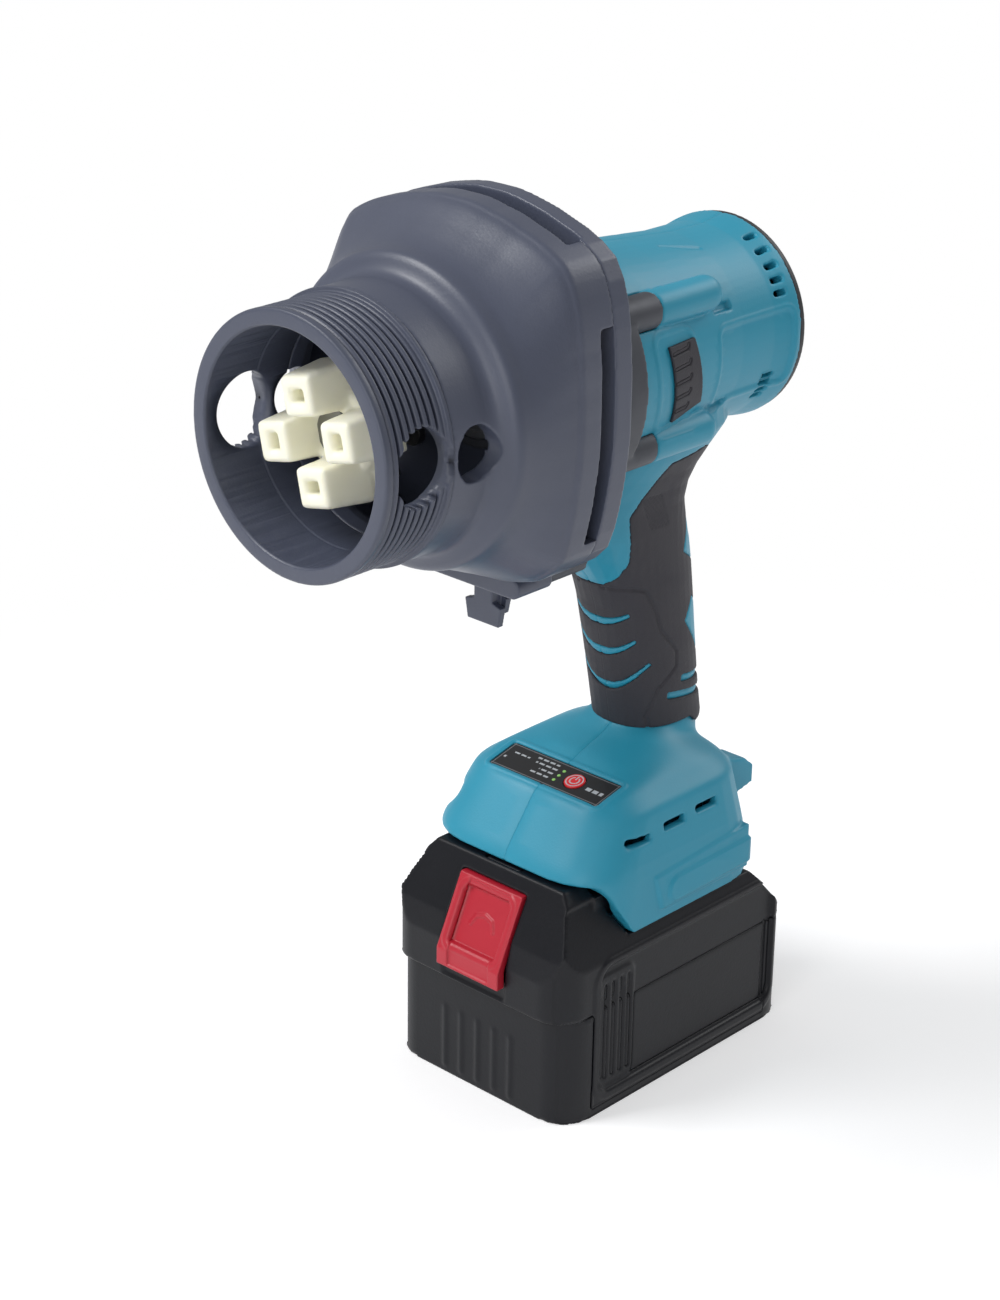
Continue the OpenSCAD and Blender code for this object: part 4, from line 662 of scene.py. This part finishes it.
def placed(mesh, points):
    """Moves the points of a mesh."""
    mesh.vertices.foreach_set("co", points.ravel())
    mesh.update()


SOFT_ROUNDS, QUICK_SOFT_ROUNDS = 80, 20


def moulding(obj, voxel, rounds, carve, most, seat=None, soft=None):
    """Remeshes an object evenly, rounds its edges, carves its details and thins what is flat.

    voxel is in mm, rounds says how often all edges are relaxed and most how many triangles
    stay. seat moves points, soft weighs where edges are rounded more, and carve gives each
    point's depth along its normal in mm.
    """
    mod = obj.modifiers.new("even", "REMESH")
    mod.mode, mod.voxel_size, mod.adaptivity = "VOXEL", voxel * MM, 0.0
    settle(obj)
    mesh = obj.data
    points = values_of(mesh.vertices, "co", 3)
    edges = values_of(mesh.edges, "vertices", 2, int)
    if seat:
        points = seat(points / MM) * MM
    if soft:
        times = SOFT_ROUNDS
        points = smoothed(points, edges, times, soft(points / MM))
    points = smoothed(points, edges, rounds)
    placed(mesh, points)
    if carve:
        normals = values_of(mesh.vertices, "normal", 3)
        depth = carve(points / MM, normals)
        placed(mesh, points + normals * depth[:, None] * MM)
    return thinned(obj, most)


def thinned(obj, most):
    """Thins a mesh that has more triangles than it may, and shades it smooth."""
    obj.data.calc_loop_triangles()
    triangles = len(obj.data.loop_triangles)
    if triangles > most:
        obj.modifiers.new("thin", "DECIMATE").ratio = most / triangles
        settle(obj)
    shaded(obj)
    return obj


def ease(value, low, high):
    """A smooth step from 0 at low to 1 at high, over an array."""
    t = np.clip((value - low) / (high - low), 0, 1)
    return t * t * (3 - 2 * t)


def fade(value, low, high):
    """A smooth step from 1 at low to 0 at high."""
    return 1 - ease(value, low, high)


def frame_distance(u, v, box, corner):
    """Distance from the edge of a rounded rectangle (u0, v0, u1, v1), negative inside."""
    u0, v0, u1, v1 = box
    du = np.abs(u - (u0 + u1) / 2) - (u1 - u0) / 2 + corner
    dv = np.abs(v - (v0 + v1) / 2) - (v1 - v0) / 2 + corner
    outside = np.hypot(np.maximum(du, 0), np.maximum(dv, 0))
    return outside + np.minimum(np.maximum(du, dv), 0) - corner


def line_distance(u, v, points):
    """Distance from a line through points."""
    best = np.full(len(u), 1e9)
    for (u0, v0), (u1, v1) in zip(points, points[1:]):
        du, dv = u1 - u0, v1 - v0
        t = np.clip(((u - u0) * du + (v - v0) * dv) / (du * du + dv * dv), 0, 1)
        best = np.minimum(best, np.hypot(u - u0 - t * du, v - v0 - t * dv))
    return best


def groove(distance, width, depth):
    """A round-bottomed groove where distance is small."""
    return -depth * fade(distance, 0.25 * width, width)


def shown_for(obj, finish, body, *nodes):
    """Finishes a piece, which is then shown for its nodes."""
    dress(obj, finish)
    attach(obj, body)
    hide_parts(*nodes)
    return obj


def show_moulding(node, finish, body, voxel, rounds, carve, most, *cuts):
    """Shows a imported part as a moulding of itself."""
    obj = cut_away(welded(node, node + "_moulding"), *cuts)
    return shown_for(moulding(obj, voxel, rounds, carve, most), finish, body, node)


# ---------------- operators

class DRIVE_OT_finishes(bpy.types.Operator):
    """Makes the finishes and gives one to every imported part"""
    bl_idname = "drive.finishes"
    bl_label = "Finishes"

    def execute(self, context):
        FINISHES.update(make_finishes())
        for finish, names in NODE_FINISH.items():
            for name in names.split():
                dress(NODES[name], finish)
        return {"FINISHED"}


class DRIVE_OT_collar(bpy.types.Operator):
    """Turns the collar and its thread ridges, and cuts its windows"""
    bl_idname = "drive.collar"
    bl_label = "Threaded collar"

    def ridges(self, values):
        """Ridges side by side along the drive axis, from a tree with named inputs."""
        tree = bpy.data.node_groups.new("thread_ridges", "GeometryNodeTree")
        for name in values:
            kind = "NodeSocketInt" if name == "Count" else "NodeSocketFloat"
            tree.interface.new_socket(name, in_out="INPUT", socket_type=kind)
        tree.interface.new_socket("Geometry", in_out="OUTPUT", socket_type="NodeSocketGeometry")
        m = Nodes(tree)
        count, pitch, crest, root = m.wires("NodeGroupInput", values)
        line = m.wire("GeometryNodeMeshLine", {
            "Count": count, "Offset": m.wire("ShaderNodeCombineXYZ", {"Y": pitch})})
        path = m.wire("GeometryNodeCurvePrimitiveCircle", {
            "Resolution": 144, "Radius": (crest + root) * 0.5})
        profile = m.wire("GeometryNodeCurvePrimitiveCircle", {
            "Resolution": 10, "Radius": (crest - root) * 0.5})
        tube = m.wire("GeometryNodeCurveToMesh", {"Curve": path, "Profile Curve": profile})
        ridge = m.wire("GeometryNodeTransform", {
            "Geometry": tube, "Rotation": (math.pi / 2, 0, 0)})
        copies = m.wire("GeometryNodeInstanceOnPoints", {"Points": line, "Instance": ridge})
        real = m.wire("GeometryNodeRealizeInstances", {"Geometry": copies})
        m.node("NodeGroupOutput", {"Geometry": m.wire("GeometryNodeSetMaterial", {
            "Geometry": real, "Material": FINISHES["thread"]})})
        obj = linked(bpy.data.meshes.new("thread_ridges"), "thread_ridges")
        mod = obj.modifiers.new("ridges", "NODES")
        mod.node_group = tree
        for item in tree.interface.items_tree:
            if item.in_out == "INPUT":
                mod[item.identifier] = values[item.name]
        return settle(obj)

    def execute(self, context):
        s = context.scene.drive_sizes
        mouth, crest, bore = MOUTH_Y, s.collar_radius / MM, s.bore_radius / MM
        root = crest - s.thread_depth / MM
        lip, shoulder, stop = mouth + 2.3, mouth + 24.0, mouth + 18
        core = lathe("threaded_collar_moulding", [
            (bore + 0.8, mouth), (crest - 0.8, mouth), (crest - 0.2, mouth + 0.3),
            (crest, mouth + 0.9), (crest, lip), (root, lip + 0.9), (root, shoulder - 2.0),
            (crest + 1.2, shoulder - 1.5), (crest + 1.3, shoulder - 0.4), (crest + 0.9, shoulder),
            (36.4, shoulder), (35.4, shoulder + 6), (bore, shoulder + 6), (bore, stop + 0.3),
            (bore + 0.3, stop), (bore + 0.3, mouth + 0.6)])
        ridges = self.ridges({"Count": s.thread_count, "Pitch": s.thread_pitch,
                              "Crest": s.collar_radius, "Root": s.collar_radius - s.thread_depth})
        ridges.data.transform(Matrix.Translation((0, (lip + 1.7) * MM, AXIS_Z * MM)))
        outward(ridges)
        collar = moulding(joined(core, ridges), 0.27, 0, None, 500000)
        for side in (-1, 1):
            cut_away(collar, bar(side, WINDOW_Y, *WINDOW_SIZE), neck_window(side))
        thinned(collar, 180000)
        shown_for(collar, "thread", "tool", "threaded_collar")
        return {"FINISHED"}


# The cover's ridge; half its width and height at the plate, and how far its middle is raised
COVER_RIDGE_Y = -68.4
COVER_HALF = (48.7, 54.3)
COVER_RISE = 3.0
# Outline of the cover: direction from the side towards the top in degrees, reach
COVER_OUTLINE = (
    (-90, 1), (-74, 1.03), (-61, 1.095), (-53, 1.14), (-46, 1.158), (-41, 1.157), (-32, 1.095),
    (-21, 1.04), (-9, 1.012), (0, 1.005), (9, 1.012), (20, 1.05), (33, 1.125), (39, 1.148),
    (43, 1.152), (49, 1.118), (61, 1.05), (74, 1.012), (90, 1))
# Neck and cove of the cover: depth, radius, then the same inside
NECK = ((-107, 39.0), (-98, 39.0), (-94, 39.2), (-92.4, 39.7), (-91.2, 40.6), (-90.3, 42.0),
        (-89.5, 43.6), (-88.7, 44.7), (-87.8, 45.3), (-86.6, 45.6))
NECK_INSIDE = ((-108, 36.6), (-100.9, 36.6), (-100.8, 32.75), (-95.5, 32.75), (-91, 34.5),
               (-88, 38.5), (-85.2, 41.2))
# Flank of the cover: share of its depth, share of the way from the neck to the outline
FLANK = ((0, 0), (0.12, 0.045), (0.3, 0.19), (0.6, 0.53), (0.8, 0.79), (0.9, 0.915), (0.96, 0.975),
         (1, 1))


def smooth_curve(points, at):
    """Values of a smooth, never falling curve through points."""
    x, y = (np.array(v, float) for v in zip(*points))
    gap = np.diff(y) / np.diff(x)
    before, after = gap[:-1], gap[1:]
    inner = np.where(before * after > 0,
                     2 * before * after / np.maximum(before + after, 1e-9), 0)
    slope = np.concatenate(([gap[0]], inner, [gap[-1]]))
    k = np.clip(np.searchsorted(x, at) - 1, 0, len(x) - 2)
    h = x[k + 1] - x[k]
    t = (at - x[k]) / h
    return ((1 + 2 * t) * (1 - t) ** 2 * y[k] + t * (1 - t) ** 2 * h * slope[k]
            + t * t * (3 - 2 * t) * y[k + 1] + t * t * (t - 1) * h * slope[k + 1])


class DRIVE_OT_cover(bpy.types.Operator):
    """Lofts the domed front cover with its cove, straight flanks, shoulder and slots"""
    bl_idname = "drive.cover"
    bl_label = "Front cover"

    def ring(self, y, share=1, inset=0, neck=0):
        """A ring of the cover, round where share is 0 and the full outline where it is 1."""
        out = []
        for a in circle(180):
            lift = math.degrees(math.atan2(math.sin(a), abs(math.cos(a))))
            reach = np.interp(lift, *zip(*COVER_OUTLINE))
            wide, tall = ((1 - share) * neck + share * (half - inset) * reach
                          for half in COVER_HALF)
            out.append((wide * math.cos(a), y,
                        AXIS_Z + tall * math.sin(a) + share * COVER_RISE))
        return out

    def flank(self, neck, inset, until):
        """The rings of a neck and of the flank that rises from it."""
        start, radius = neck[-1]
        depth = np.linspace(0, 1, 24)[1:]
        return ([self.ring(y, 0, 0, r) for y, r in neck]
                + [self.ring(start + d * (until - start), share, inset, radius)
                   for d, share in zip(depth, smooth_curve(FLANK, depth))])

    def execute(self, context):
        outer = loft("front_cover_moulding", [
            *self.flank(NECK, 0.9, COVER_RIDGE_Y), self.ring(COVER_RIDGE_Y + 0.5, inset=0.35),
            self.ring(COVER_RIDGE_Y + 1.4), self.ring(PLATE_Y)])
        inner = loft("cutter", [*self.flank(NECK_INSIDE, 4.1, COVER_RIDGE_Y + 1.5),
                                self.ring(PLATE_Y + 1, inset=3.0)])
        top_slot = block((-35, PLATE_Y - 5.6, AXIS_Z + 20), (35, PLATE_Y + 1, AXIS_Z + 75))
        side_slots = block((-60, PLATE_Y - 5.3, AXIS_Z - 35), (60, PLATE_Y + 1, AXIS_Z + 28))
        cut_away(outer, inner, top_slot, side_slots, neck_window(-1), neck_window(1))
        moulding(outer, 0.5, 2, None, 190000)
        shown_for(outer, "cover", "tool", "front_cover")
        return {"FINISHED"}


# Frames on the barrel's side, from depth and arc to depth and arc: panel, pad, lower slots
BARREL_PANEL = (13.5, -14.5, 47, 8.4)
BARREL_PAD = (-18.2, -14.8, 0.6, 12.9)
BARREL_SLOTS = ((12, 13.6, 21, 16.2), (12, -17.4, 21, -14.8))
# Radius that arcs are measured at, least radius and height of the outer skin, parting line
BARREL_R = 30.4
BARREL_SKIN_R = 28.5
BARREL_LOW = 195
BARREL_SEAM = ((10, 39), (24, 35))


def barrel_carve(points, normals):
    """Recessed side panels, pad rims and parting line of the motor barrel."""
    x, y, z = np.abs(points[:, 0]), points[:, 1], points[:, 2] - AXIS_Z
    radius = np.hypot(x, z)
    facing = ((normals[:, 0] * np.sign(points[:, 0]) * x + normals[:, 2] * z)
              / np.maximum(radius, 1))
    skin = (facing > 0.6) & (radius > BARREL_SKIN_R) & (points[:, 2] > BARREL_LOW)
    arc = BARREL_R * np.arctan2(z, x)
    panel = frame_distance(y, arc, BARREL_PANEL, 2.5)
    depth = -0.7 * fade(panel, -0.7, 0.5) + 0.25 * fade(np.abs(panel - 1.2), 0.3, 1.0)
    rim = frame_distance(y + 0.12 * arc, arc, BARREL_PAD, 4)
    depth += 0.35 * fade(np.abs(rim), 0.5, 1.4) * (y < 6)
    depth += groove(line_distance(y, arc, BARREL_SEAM), 0.9, 0.35)
    for slot in BARREL_SLOTS:
        depth -= 1.6 * fade(frame_distance(y, arc, slot, 0.5), -0.35, 0.35)
    return np.where(skin, depth, 0)


def panel_frame(points):
    """Distance from the panel's outline and height over its middle, for points in mm."""
    mid = [v / MM for v in centre_of("label_panel")]
    y, z = points[:, 1] - mid[1], points[:, 2] - mid[2]
    ahead = y * SLOPE_COS + z * SLOPE_SIN
    lift = -y * SLOPE_SIN + z * SLOPE_COS
    across, deep = PANEL_HALF
    box = (-across, -deep, across, deep)
    return frame_distance(points[:, 0], ahead, box, PANEL_CORNER), lift


def foot_seat(points):
    """Levels the foot's top round the panel, so that the panel lies just below it."""
    around, lift = panel_frame(points)
    near = (lift < 9) & (np.abs(points[:, 0]) < 32)
    drop = np.where(near, np.maximum(lift - PANEL_TOP - 0.3, 0), 0) * fade(around, 1.5, 6.0)
    moved = points.copy()
    moved[:, 1] += drop * SLOPE_SIN
    moved[:, 2] -= drop * SLOPE_COS
    return moved


def foot_soft(points):
    """Where the foot's edges are rounded most: the whole top and the front corners."""
    x, y, z = points.T
    around, lift = panel_frame(points)
    high = ease(z, 91, 96) * fade(z, 118, 126)
    front = ease(z, 66, 71) * fade(y, -27, -23) * fade(z, 118, 126)
    clear = np.where((lift > -6) & (lift < 8), ease(around, 1.0, 3.0), 1)
    return np.maximum(high, front) * clear


# Middle line of the raised rib on each side of the foot
FOOT_RIB = ((-5.5, 67.2), (38, 68.2))


def foot_carve(points, normals):
    """Panel rim, mould seam and wrap-over edges of the foot."""
    x, y, z = points.T
    around, lift = panel_frame(points)
    top = (lift > 1.5) & (lift < 6) & (normals[:, 2] > 0.6)
    depth = np.where(top, 0.3 * fade(np.abs(around - 1.1), 0.2, 0.9), 0)
    seam = np.abs(normals[:, 0]) < 0.5
    depth += np.where(seam, groove(np.abs(x), 0.55, 0.22), 0)
    flank = (np.abs(normals[:, 0]) > 0.6) & (z < 92)
    rib = line_distance(y, z, FOOT_RIB) - 4.4
    return depth + np.where(flank, 0.9 * fade(rib, -0.7, 0.5), 0)


def housing_carve(points, normals):
    """The details of the barrel and of the foot."""
    return barrel_carve(points, normals) + foot_carve(points, normals)


# Parting line of the grip and the frame of its pebbled patch, in depth and height
GRIP_SEAM = ((-17, 157), (-15, 158), (-1, 157.6), (2.3, 156.7), (6.4, 149.6), (9.1, 142),
             (16.8, 133), (17.1, 128), (10.3, 121.5), (8, 112), (10, 104))
GRIP_PATCH = (-3.5, 178, 5, 190)


def grip_carve(points, normals):
    """Parting groove and pebbled patch of the grip."""
    y, z = points[:, 1], points[:, 2]
    side = np.abs(normals[:, 0]) > 0.25
    depth = np.where(side, groove(line_distance(y, z, GRIP_SEAM), 0.8, 0.45), 0)
    patch = frame_distance(y + 0.55 * (z - 184), z, GRIP_PATCH, 1.2)
    pebbles = 0.5 + 0.5 * np.sin(y * 4.2) * np.sin(z * 4.2)
    return depth + np.where(side, -0.3 * fade(patch, -0.3, 0.3) * pebbles, 0)


def pad_carve(points, normals):
    """Five short grip grooves in each side pad."""
    y, z = points[:, 1], points[:, 2] - AXIS_Z
    depth = np.zeros(len(y))
    for k in range(5):
        level, start = 8.0 - 4.5 * k, -12.2 + 0.2 * k
        line = [(start, level - 0.4), (start + 7.2, level), (start + 7.8, level + 0.9)]
        depth += groove(line_distance(y, z, line), 0.95, 0.8)
    return np.where(np.abs(normals[:, 0]) > 0.4, depth, 0)


class DRIVE_OT_housing(bpy.types.Operator):
    """Softens and details the housing halves, grips and side pads"""
    bl_idname = "drive.housing"
    bl_label = "Housing"

    def execute(self, context):
        for stem, finish, voxel, carve, most, seat, soft in (
                ("housing_", "shell", 0.5, housing_carve, 370000, foot_seat, foot_soft),
                ("grip_", "rubber", 0.36, grip_carve, 200000, None, None)):
            both = joined(welded(stem + "right", "both"), welded(stem + "left", "other"))
            moulding(both, voxel, 2, carve, most, seat, soft)
            for side, sign in (("right", 1), ("left", -1)):
                half = half_of(both, stem + side + "_moulding", sign)
                shown_for(half, finish, "tool", stem + side)
            bpy.data.objects.remove(both)
        for node in ("side_pad_right", "side_pad_left"):
            show_moulding(node, "rubber", "tool", 0.2, 2, pad_carve, 40000)
        return {"FINISHED"}


def cap_carve(points, normals):
    """Turned rings in the rear cap's outer face."""
    radius = np.hypot(points[:, 0], points[:, 2] - AXIS_Z)
    rings = np.min([np.abs(radius - r) for r in (9.0, 20.5, 22.5)], axis=0)
    return np.where(normals[:, 1] > 0.7, groove(rings, 0.8, 0.5), 0)


class DRIVE_OT_fittings(bpy.types.Operator):
    """Rounds the back plate, hook, gear case and rear cap"""
    bl_idname = "drive.fittings"
    bl_label = "Plate, case and cap"

    def execute(self, context):
        slot = block((-34, PLATE_Y - 1, AXIS_Z + 20), (34, PLATE_Y + 1.1, AXIS_Z + 75))
        show_moulding("back_plate", "cover", "tool", 0.45, 1, None, 110000, slot)
        show_moulding("hook_clip", "cover", "tool", 0.22, 1, None, 30000)
        show_moulding("gear_case", "cast", "tool", 0.6, 2, None, 90000)
        show_moulding("rear_cap", "dark", "tool", 0.4, 1, cap_carve, 60000)
        return {"FINISHED"}


def slope_point(x, ahead, lift):
    """A point in mm from its place across, along and above the panel's middle."""
    mid = [v / MM for v in centre_of("label_panel")]
    return (x, mid[1] + ahead * SLOPE_COS - lift * SLOPE_SIN,
            mid[2] + ahead * SLOPE_SIN + lift * SLOPE_COS)


def disc(name, x, ahead, radius, low, high):
    """A round cap square to the panel, with an eased top edge."""
    return loft(name, [
        [slope_point(x + r * math.cos(a), ahead + r * math.sin(a), lift) for a in circle(48)]
        for lift, r in ((low, radius), (high - 0.25, radius), (high - 0.07, radius - 0.08),
                        (high, radius - 0.3))])


class DRIVE_OT_panel(bpy.types.Operator):
    """Lays the panel film, its button cap and the indicator lights"""
    bl_idname = "drive.panel"
    bl_label = "Control panel"

    def sheet(self, low, high):
        """The film, with round corners and an eased top edge."""
        rings = []
        for lift, inset in ((low, 0), (high - 0.2, 0), (high, 0.2)):
            ring = []
            for k, signs in enumerate(((1, 1), (-1, 1), (-1, -1), (1, -1))):
                x, ahead = (sign * (half - PANEL_CORNER) for sign, half in zip(signs, PANEL_HALF))
                for i in range(7):
                    a, r = math.pi / 2 * (k + i / 6), PANEL_CORNER - inset
                    ring.append(slope_point(x + r * math.cos(a), ahead + r * math.sin(a), lift))
            rings.append(ring)
        return loft("label_panel_moulding", rings)

    def execute(self, context):
        x, ahead = centre_of("power_button")[0] / MM, along_panel("power_button") / MM
        sheet = cut_away(self.sheet(-1.2, PANEL_TOP), disc("cutter", x, ahead, 3.7, -3, 6))
        shown_for(sheet, "label", "tool", "label_panel")
        cap = joined(welded("power_button", "power_button_moulding"),
                     disc("cap", x, ahead, 3.45, 0.4, PANEL_TOP + 0.4))
        shown_for(cap, "power", "power_key", "power_button")
        lamps = joined(welded("indicator_lights", "indicator_lights_moulding"),
                       *(disc("lamp", 1.6, up, 0.62, 0.4, PANEL_TOP + 0.2)
                         for up in (-2.5, 0, 2.5)))
        shown_for(lamps, "lens", "tool", "indicator_lights")
        return {"FINISHED"}


class DRIVE_OT_driver(bpy.types.Operator):
    """Rounds the four-post socket driver as a casting"""
    bl_idname = "drive.driver"
    bl_label = "Socket driver"

    def execute(self, context):
        hub = lathe("hub", [(7.2, -105.2), (7.2, -112.6), (7.9, -113.6), (9.0, -113.2),
                            (10.6, -111.0), (13.5, -108.4), (17, -105.2)], 72)
        driver = joined(welded("socket_driver", "socket_driver_moulding"), hub)

        def swell(points, normals):
            """Makes the posts a little thicker."""
            return 0.55 * fade(points[:, 1], -110, -106.5)
        moulding(driver, 0.4, 26, swell, 120000)
        shown_for(driver, "driver", "output", "socket_driver")
        return {"FINISHED"}


# Frames on the pack's side, in depth and height: the sunk panel and its grooved plate
PACK_PANEL = (-42, 4, 48, 53)
PACK_PLATE = (-39.5, 7.5, -22.5, 47.5)
# Frame and arrow on the release button's face, in width and height
BUTTON_FACE = (-9.7, 50.2, 9.7, 67.4)
BUTTON_ARROW = ((-4.6, 57.2), (-3.2, 59.8), (0, 60.8), (3.2, 59.8), (4.6, 57.2))


def pack_carve(points, normals):
    """Framed side panels with a rounded rim and a grooved plate."""
    x, y, z = points.T
    side = (np.abs(normals[:, 0]) > 0.5) & (np.abs(x) > 30)
    rim = frame_distance(y, z, PACK_PANEL, 8)
    depth = -0.9 * fade(rim, -3.2, -2.2) - 0.45 * ease(rim, -0.1, 0.9)
    depth += 0.6 * fade(frame_distance(y, z, PACK_PLATE, 3), -0.7, 0.5)
    for k in range(4):
        line = [(-35.6 + 3.5 * k, 11.5), (-35.6 + 3.5 * k, 43.5)]
        depth += groove(line_distance(y, z, line), 1.15, 0.9)
    return np.where(side, depth, 0)


class DRIVE_OT_pack(bpy.types.Operator):
    """Softens and details the battery pack and its release button"""
    bl_idname = "drive.pack"
    bl_label = "Battery pack"

    def spring(self):
        """The release spring, shown as a steel coil that goes with the pack."""
        obj = shown_for(welded("release_spring", "release_spring_coil"), "steel", "pack",
                        "release_spring")
        x, y, z = centre_of("release_spring")
        heights = [v.co.z for v in obj.data.vertices]
        tall = max(heights) - min(heights)
        z - tall / 2
        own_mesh(obj)

    def button_carve(self, points, normals):
        """The sunk face of the button, its rim and its arrow."""
        x, y, z = points.T
        face = (normals[:, 1] < -0.3) & (np.abs(x) < 12.6)
        inner = frame_distance(x, z, BUTTON_FACE, 1.8)
        depth = -1.6 * fade(inner, -0.6, 0.3) + 0.3 * fade(np.abs(inner - 1.5), 0.4, 1.3)
        depth += 0.5 * fade(line_distance(x, z, BUTTON_ARROW), 0.3, 0.9)
        return np.where(face, depth, 0)

    def execute(self, context):
        for node, most in (("pack_upper_case", 180000), ("pack_lower_case", 120000)):
            show_moulding(node, "pack", "pack", 0.6, 2, pack_carve, most)
        self.spring()
        obj = show_moulding("release_button", "release", "release", 0.3, 2,
                            self.button_carve, 70000)
        obj.data.materials.append(FINISHES["pack"])
        for face in obj.data.polygons:
            face.material_index = int(face.center.y > STEM_Y * MM or face.center.z > STEM_Z * MM)
        return {"FINISHED"}


class DRIVE_OT_stage(bpy.types.Operator):
    """Sets the pale floor, the soft lamps and the camera"""
    bl_idname = "drive.stage"
    bl_label = "Stage"

    def lamp(self, name, place, size, power):
        """A soft rectangular lamp that looks at the middle of the tool."""
        data = bpy.data.lights.new(name, "AREA")
        data.shape = "RECTANGLE"
        data.size, data.size_y = size
        data.energy = power
        obj = linked(data, name)
        obj.location = place
        look = Vector(place) - Vector(TOOL_MIDDLE)
        obj.rotation_euler = look.to_track_quat("Z", "Y").to_euler()

    def camera(self, scene, s):
        """The camera, by its angles and its distance from the target."""
        a, e, roll = s.azimuth, s.elevation, s.roll
        back = Vector((math.sin(a) * math.cos(e), -math.cos(a) * math.cos(e), math.sin(e)))
        right = Vector((math.cos(a), math.sin(a), 0.0))
        up = back.cross(right)
        side = right * math.cos(roll) + up * math.sin(roll)
        top = up * math.cos(roll) - right * math.sin(roll)
        data = bpy.data.cameras.new("camera")
        data.lens, data.sensor_width = s.lens, 36.0
        data.clip_start, data.clip_end = 0.01, 30.0
        place = Matrix((side, top, back)).transposed().to_4x4()
        place.translation = Vector(s.target) + back * s.distance
        scene.camera = linked(data, "camera")
        scene.camera.matrix_world = place

    def floor(self, rgb):
        """A pale sheet under the tool, which is plain white away from it."""
        r, z = FLOOR_REACH, CAD_LOW[2] - FLOOR_GAP
        mesh = bpy.data.meshes.new("floor")
        mesh.from_pydata([(-r, -r, z), (r, -r, z), (r, r, z), (-r, r, z)], [], [(0, 1, 2, 3)])
        m = Finish("floor_paper")
        camera, glossy = m.wires("ShaderNodeLightPath", ("Is Camera Ray", "Is Glossy Ray"))
        matt = m.wire("ShaderNodeBsdfDiffuse", {
            "Color": m.mix(m.noise(3.0) * 0.3, rgb, tone(rgb, 0.97))})
        glow = m.wire("ShaderNodeEmission", {
            "Color": WHITE, "Strength": m.maths("MAXIMUM", camera, glossy) * 0.30})
        near = m.wire("ShaderNodeAddShader", {0: matt, 1: glow})
        far = m.wire("ShaderNodeEmission", {"Color": WHITE, "Strength": 1.0})
        reach = m.wire("ShaderNodeVectorMath", {0: m.place}, "Value", operation="LENGTH")
        m.node("ShaderNodeOutputMaterial", {0: m.wire("ShaderNodeMixShader", {
            0: m.step(reach, 0.16, 0.42) * camera, 1: near, 2: far})})
        mesh.materials.append(m.material)
        linked(mesh, "floor")

    def world(self, scene, level):
        """White where the camera sees it, and a soft light of the given level elsewhere."""
        scene.world = bpy.data.worlds.new("studio")
        scene.world.use_nodes = True
        m = Nodes(scene.world.node_tree)
        seen = m.maths("MAXIMUM", *m.wires("ShaderNodeLightPath", (
            "Is Camera Ray", "Is Transmission Ray")))
        light = m.wire("ShaderNodeMapRange", {0: seen, 3: level, 4: 1.0})
        sky = m.wire("ShaderNodeBackground", {"Color": WHITE, "Strength": light})
        m.node("ShaderNodeOutputWorld", {0: sky})

    def execute(self, context):
        scene, s = context.scene, context.scene.drive_stage
        self.camera(scene, s)
        scene.view_settings.view_transform = "Standard"
        self.lamp("key", (-0.62, -0.85, 1.35), (0.65, 0.55), s.key)
        self.lamp("fill", (0.55, -1.30, 0.62), (0.8, 0.7), s.fill)
        self.lamp("rim", (0.35, 1.2, 1.1), (1.0, 0.6), s.rim)
        self.floor(tuple(scene.drive_colours.floor))
        self.world(scene, s.sky)
        return {"FINISHED"}


STEPS = (DRIVE_OT_finishes, DRIVE_OT_collar, DRIVE_OT_cover, DRIVE_OT_fittings, DRIVE_OT_driver,
         DRIVE_OT_housing, DRIVE_OT_panel, DRIVE_OT_pack, DRIVE_OT_stage)


class DRIVE_PT_panel(bpy.types.Panel):
    """Lists the settings and the steps"""
    bl_idname = "DRIVE_PT_panel"
    bl_label = "Drive tool"
    bl_space_type = "VIEW_3D"
    bl_region_type = "UI"
    bl_category = "Drive tool"

    def draw(self, context):
        scene = context.scene
        for group in (scene.drive_colours, scene.drive_sizes, scene.drive_stage):
            box = self.layout.box()
            for key in group.__annotations__:
                box.prop(group, key)
        for step in STEPS:
            self.layout.operator(step.bl_idname)


CLASSES = (DriveColours, DriveSizes, DriveStage, *STEPS, DRIVE_PT_panel)


def register():
    for cls in CLASSES:
        bpy.utils.register_class(cls)
    bpy.types.Scene.drive_colours = PointerProperty(type=DriveColours)
    bpy.types.Scene.drive_sizes = PointerProperty(type=DriveSizes)
    bpy.types.Scene.drive_stage = PointerProperty(type=DriveStage)


def unregister():
    del bpy.types.Scene.drive_stage
    del bpy.types.Scene.drive_sizes
    del bpy.types.Scene.drive_colours
    for cls in reversed(CLASSES):
        bpy.utils.unregister_class(cls)


def main():
    register()
    for step in STEPS:
        group, call = step.bl_idname.split(".")
        getattr(getattr(bpy.ops, group), call)()


if __name__ == "__main__":
    main()
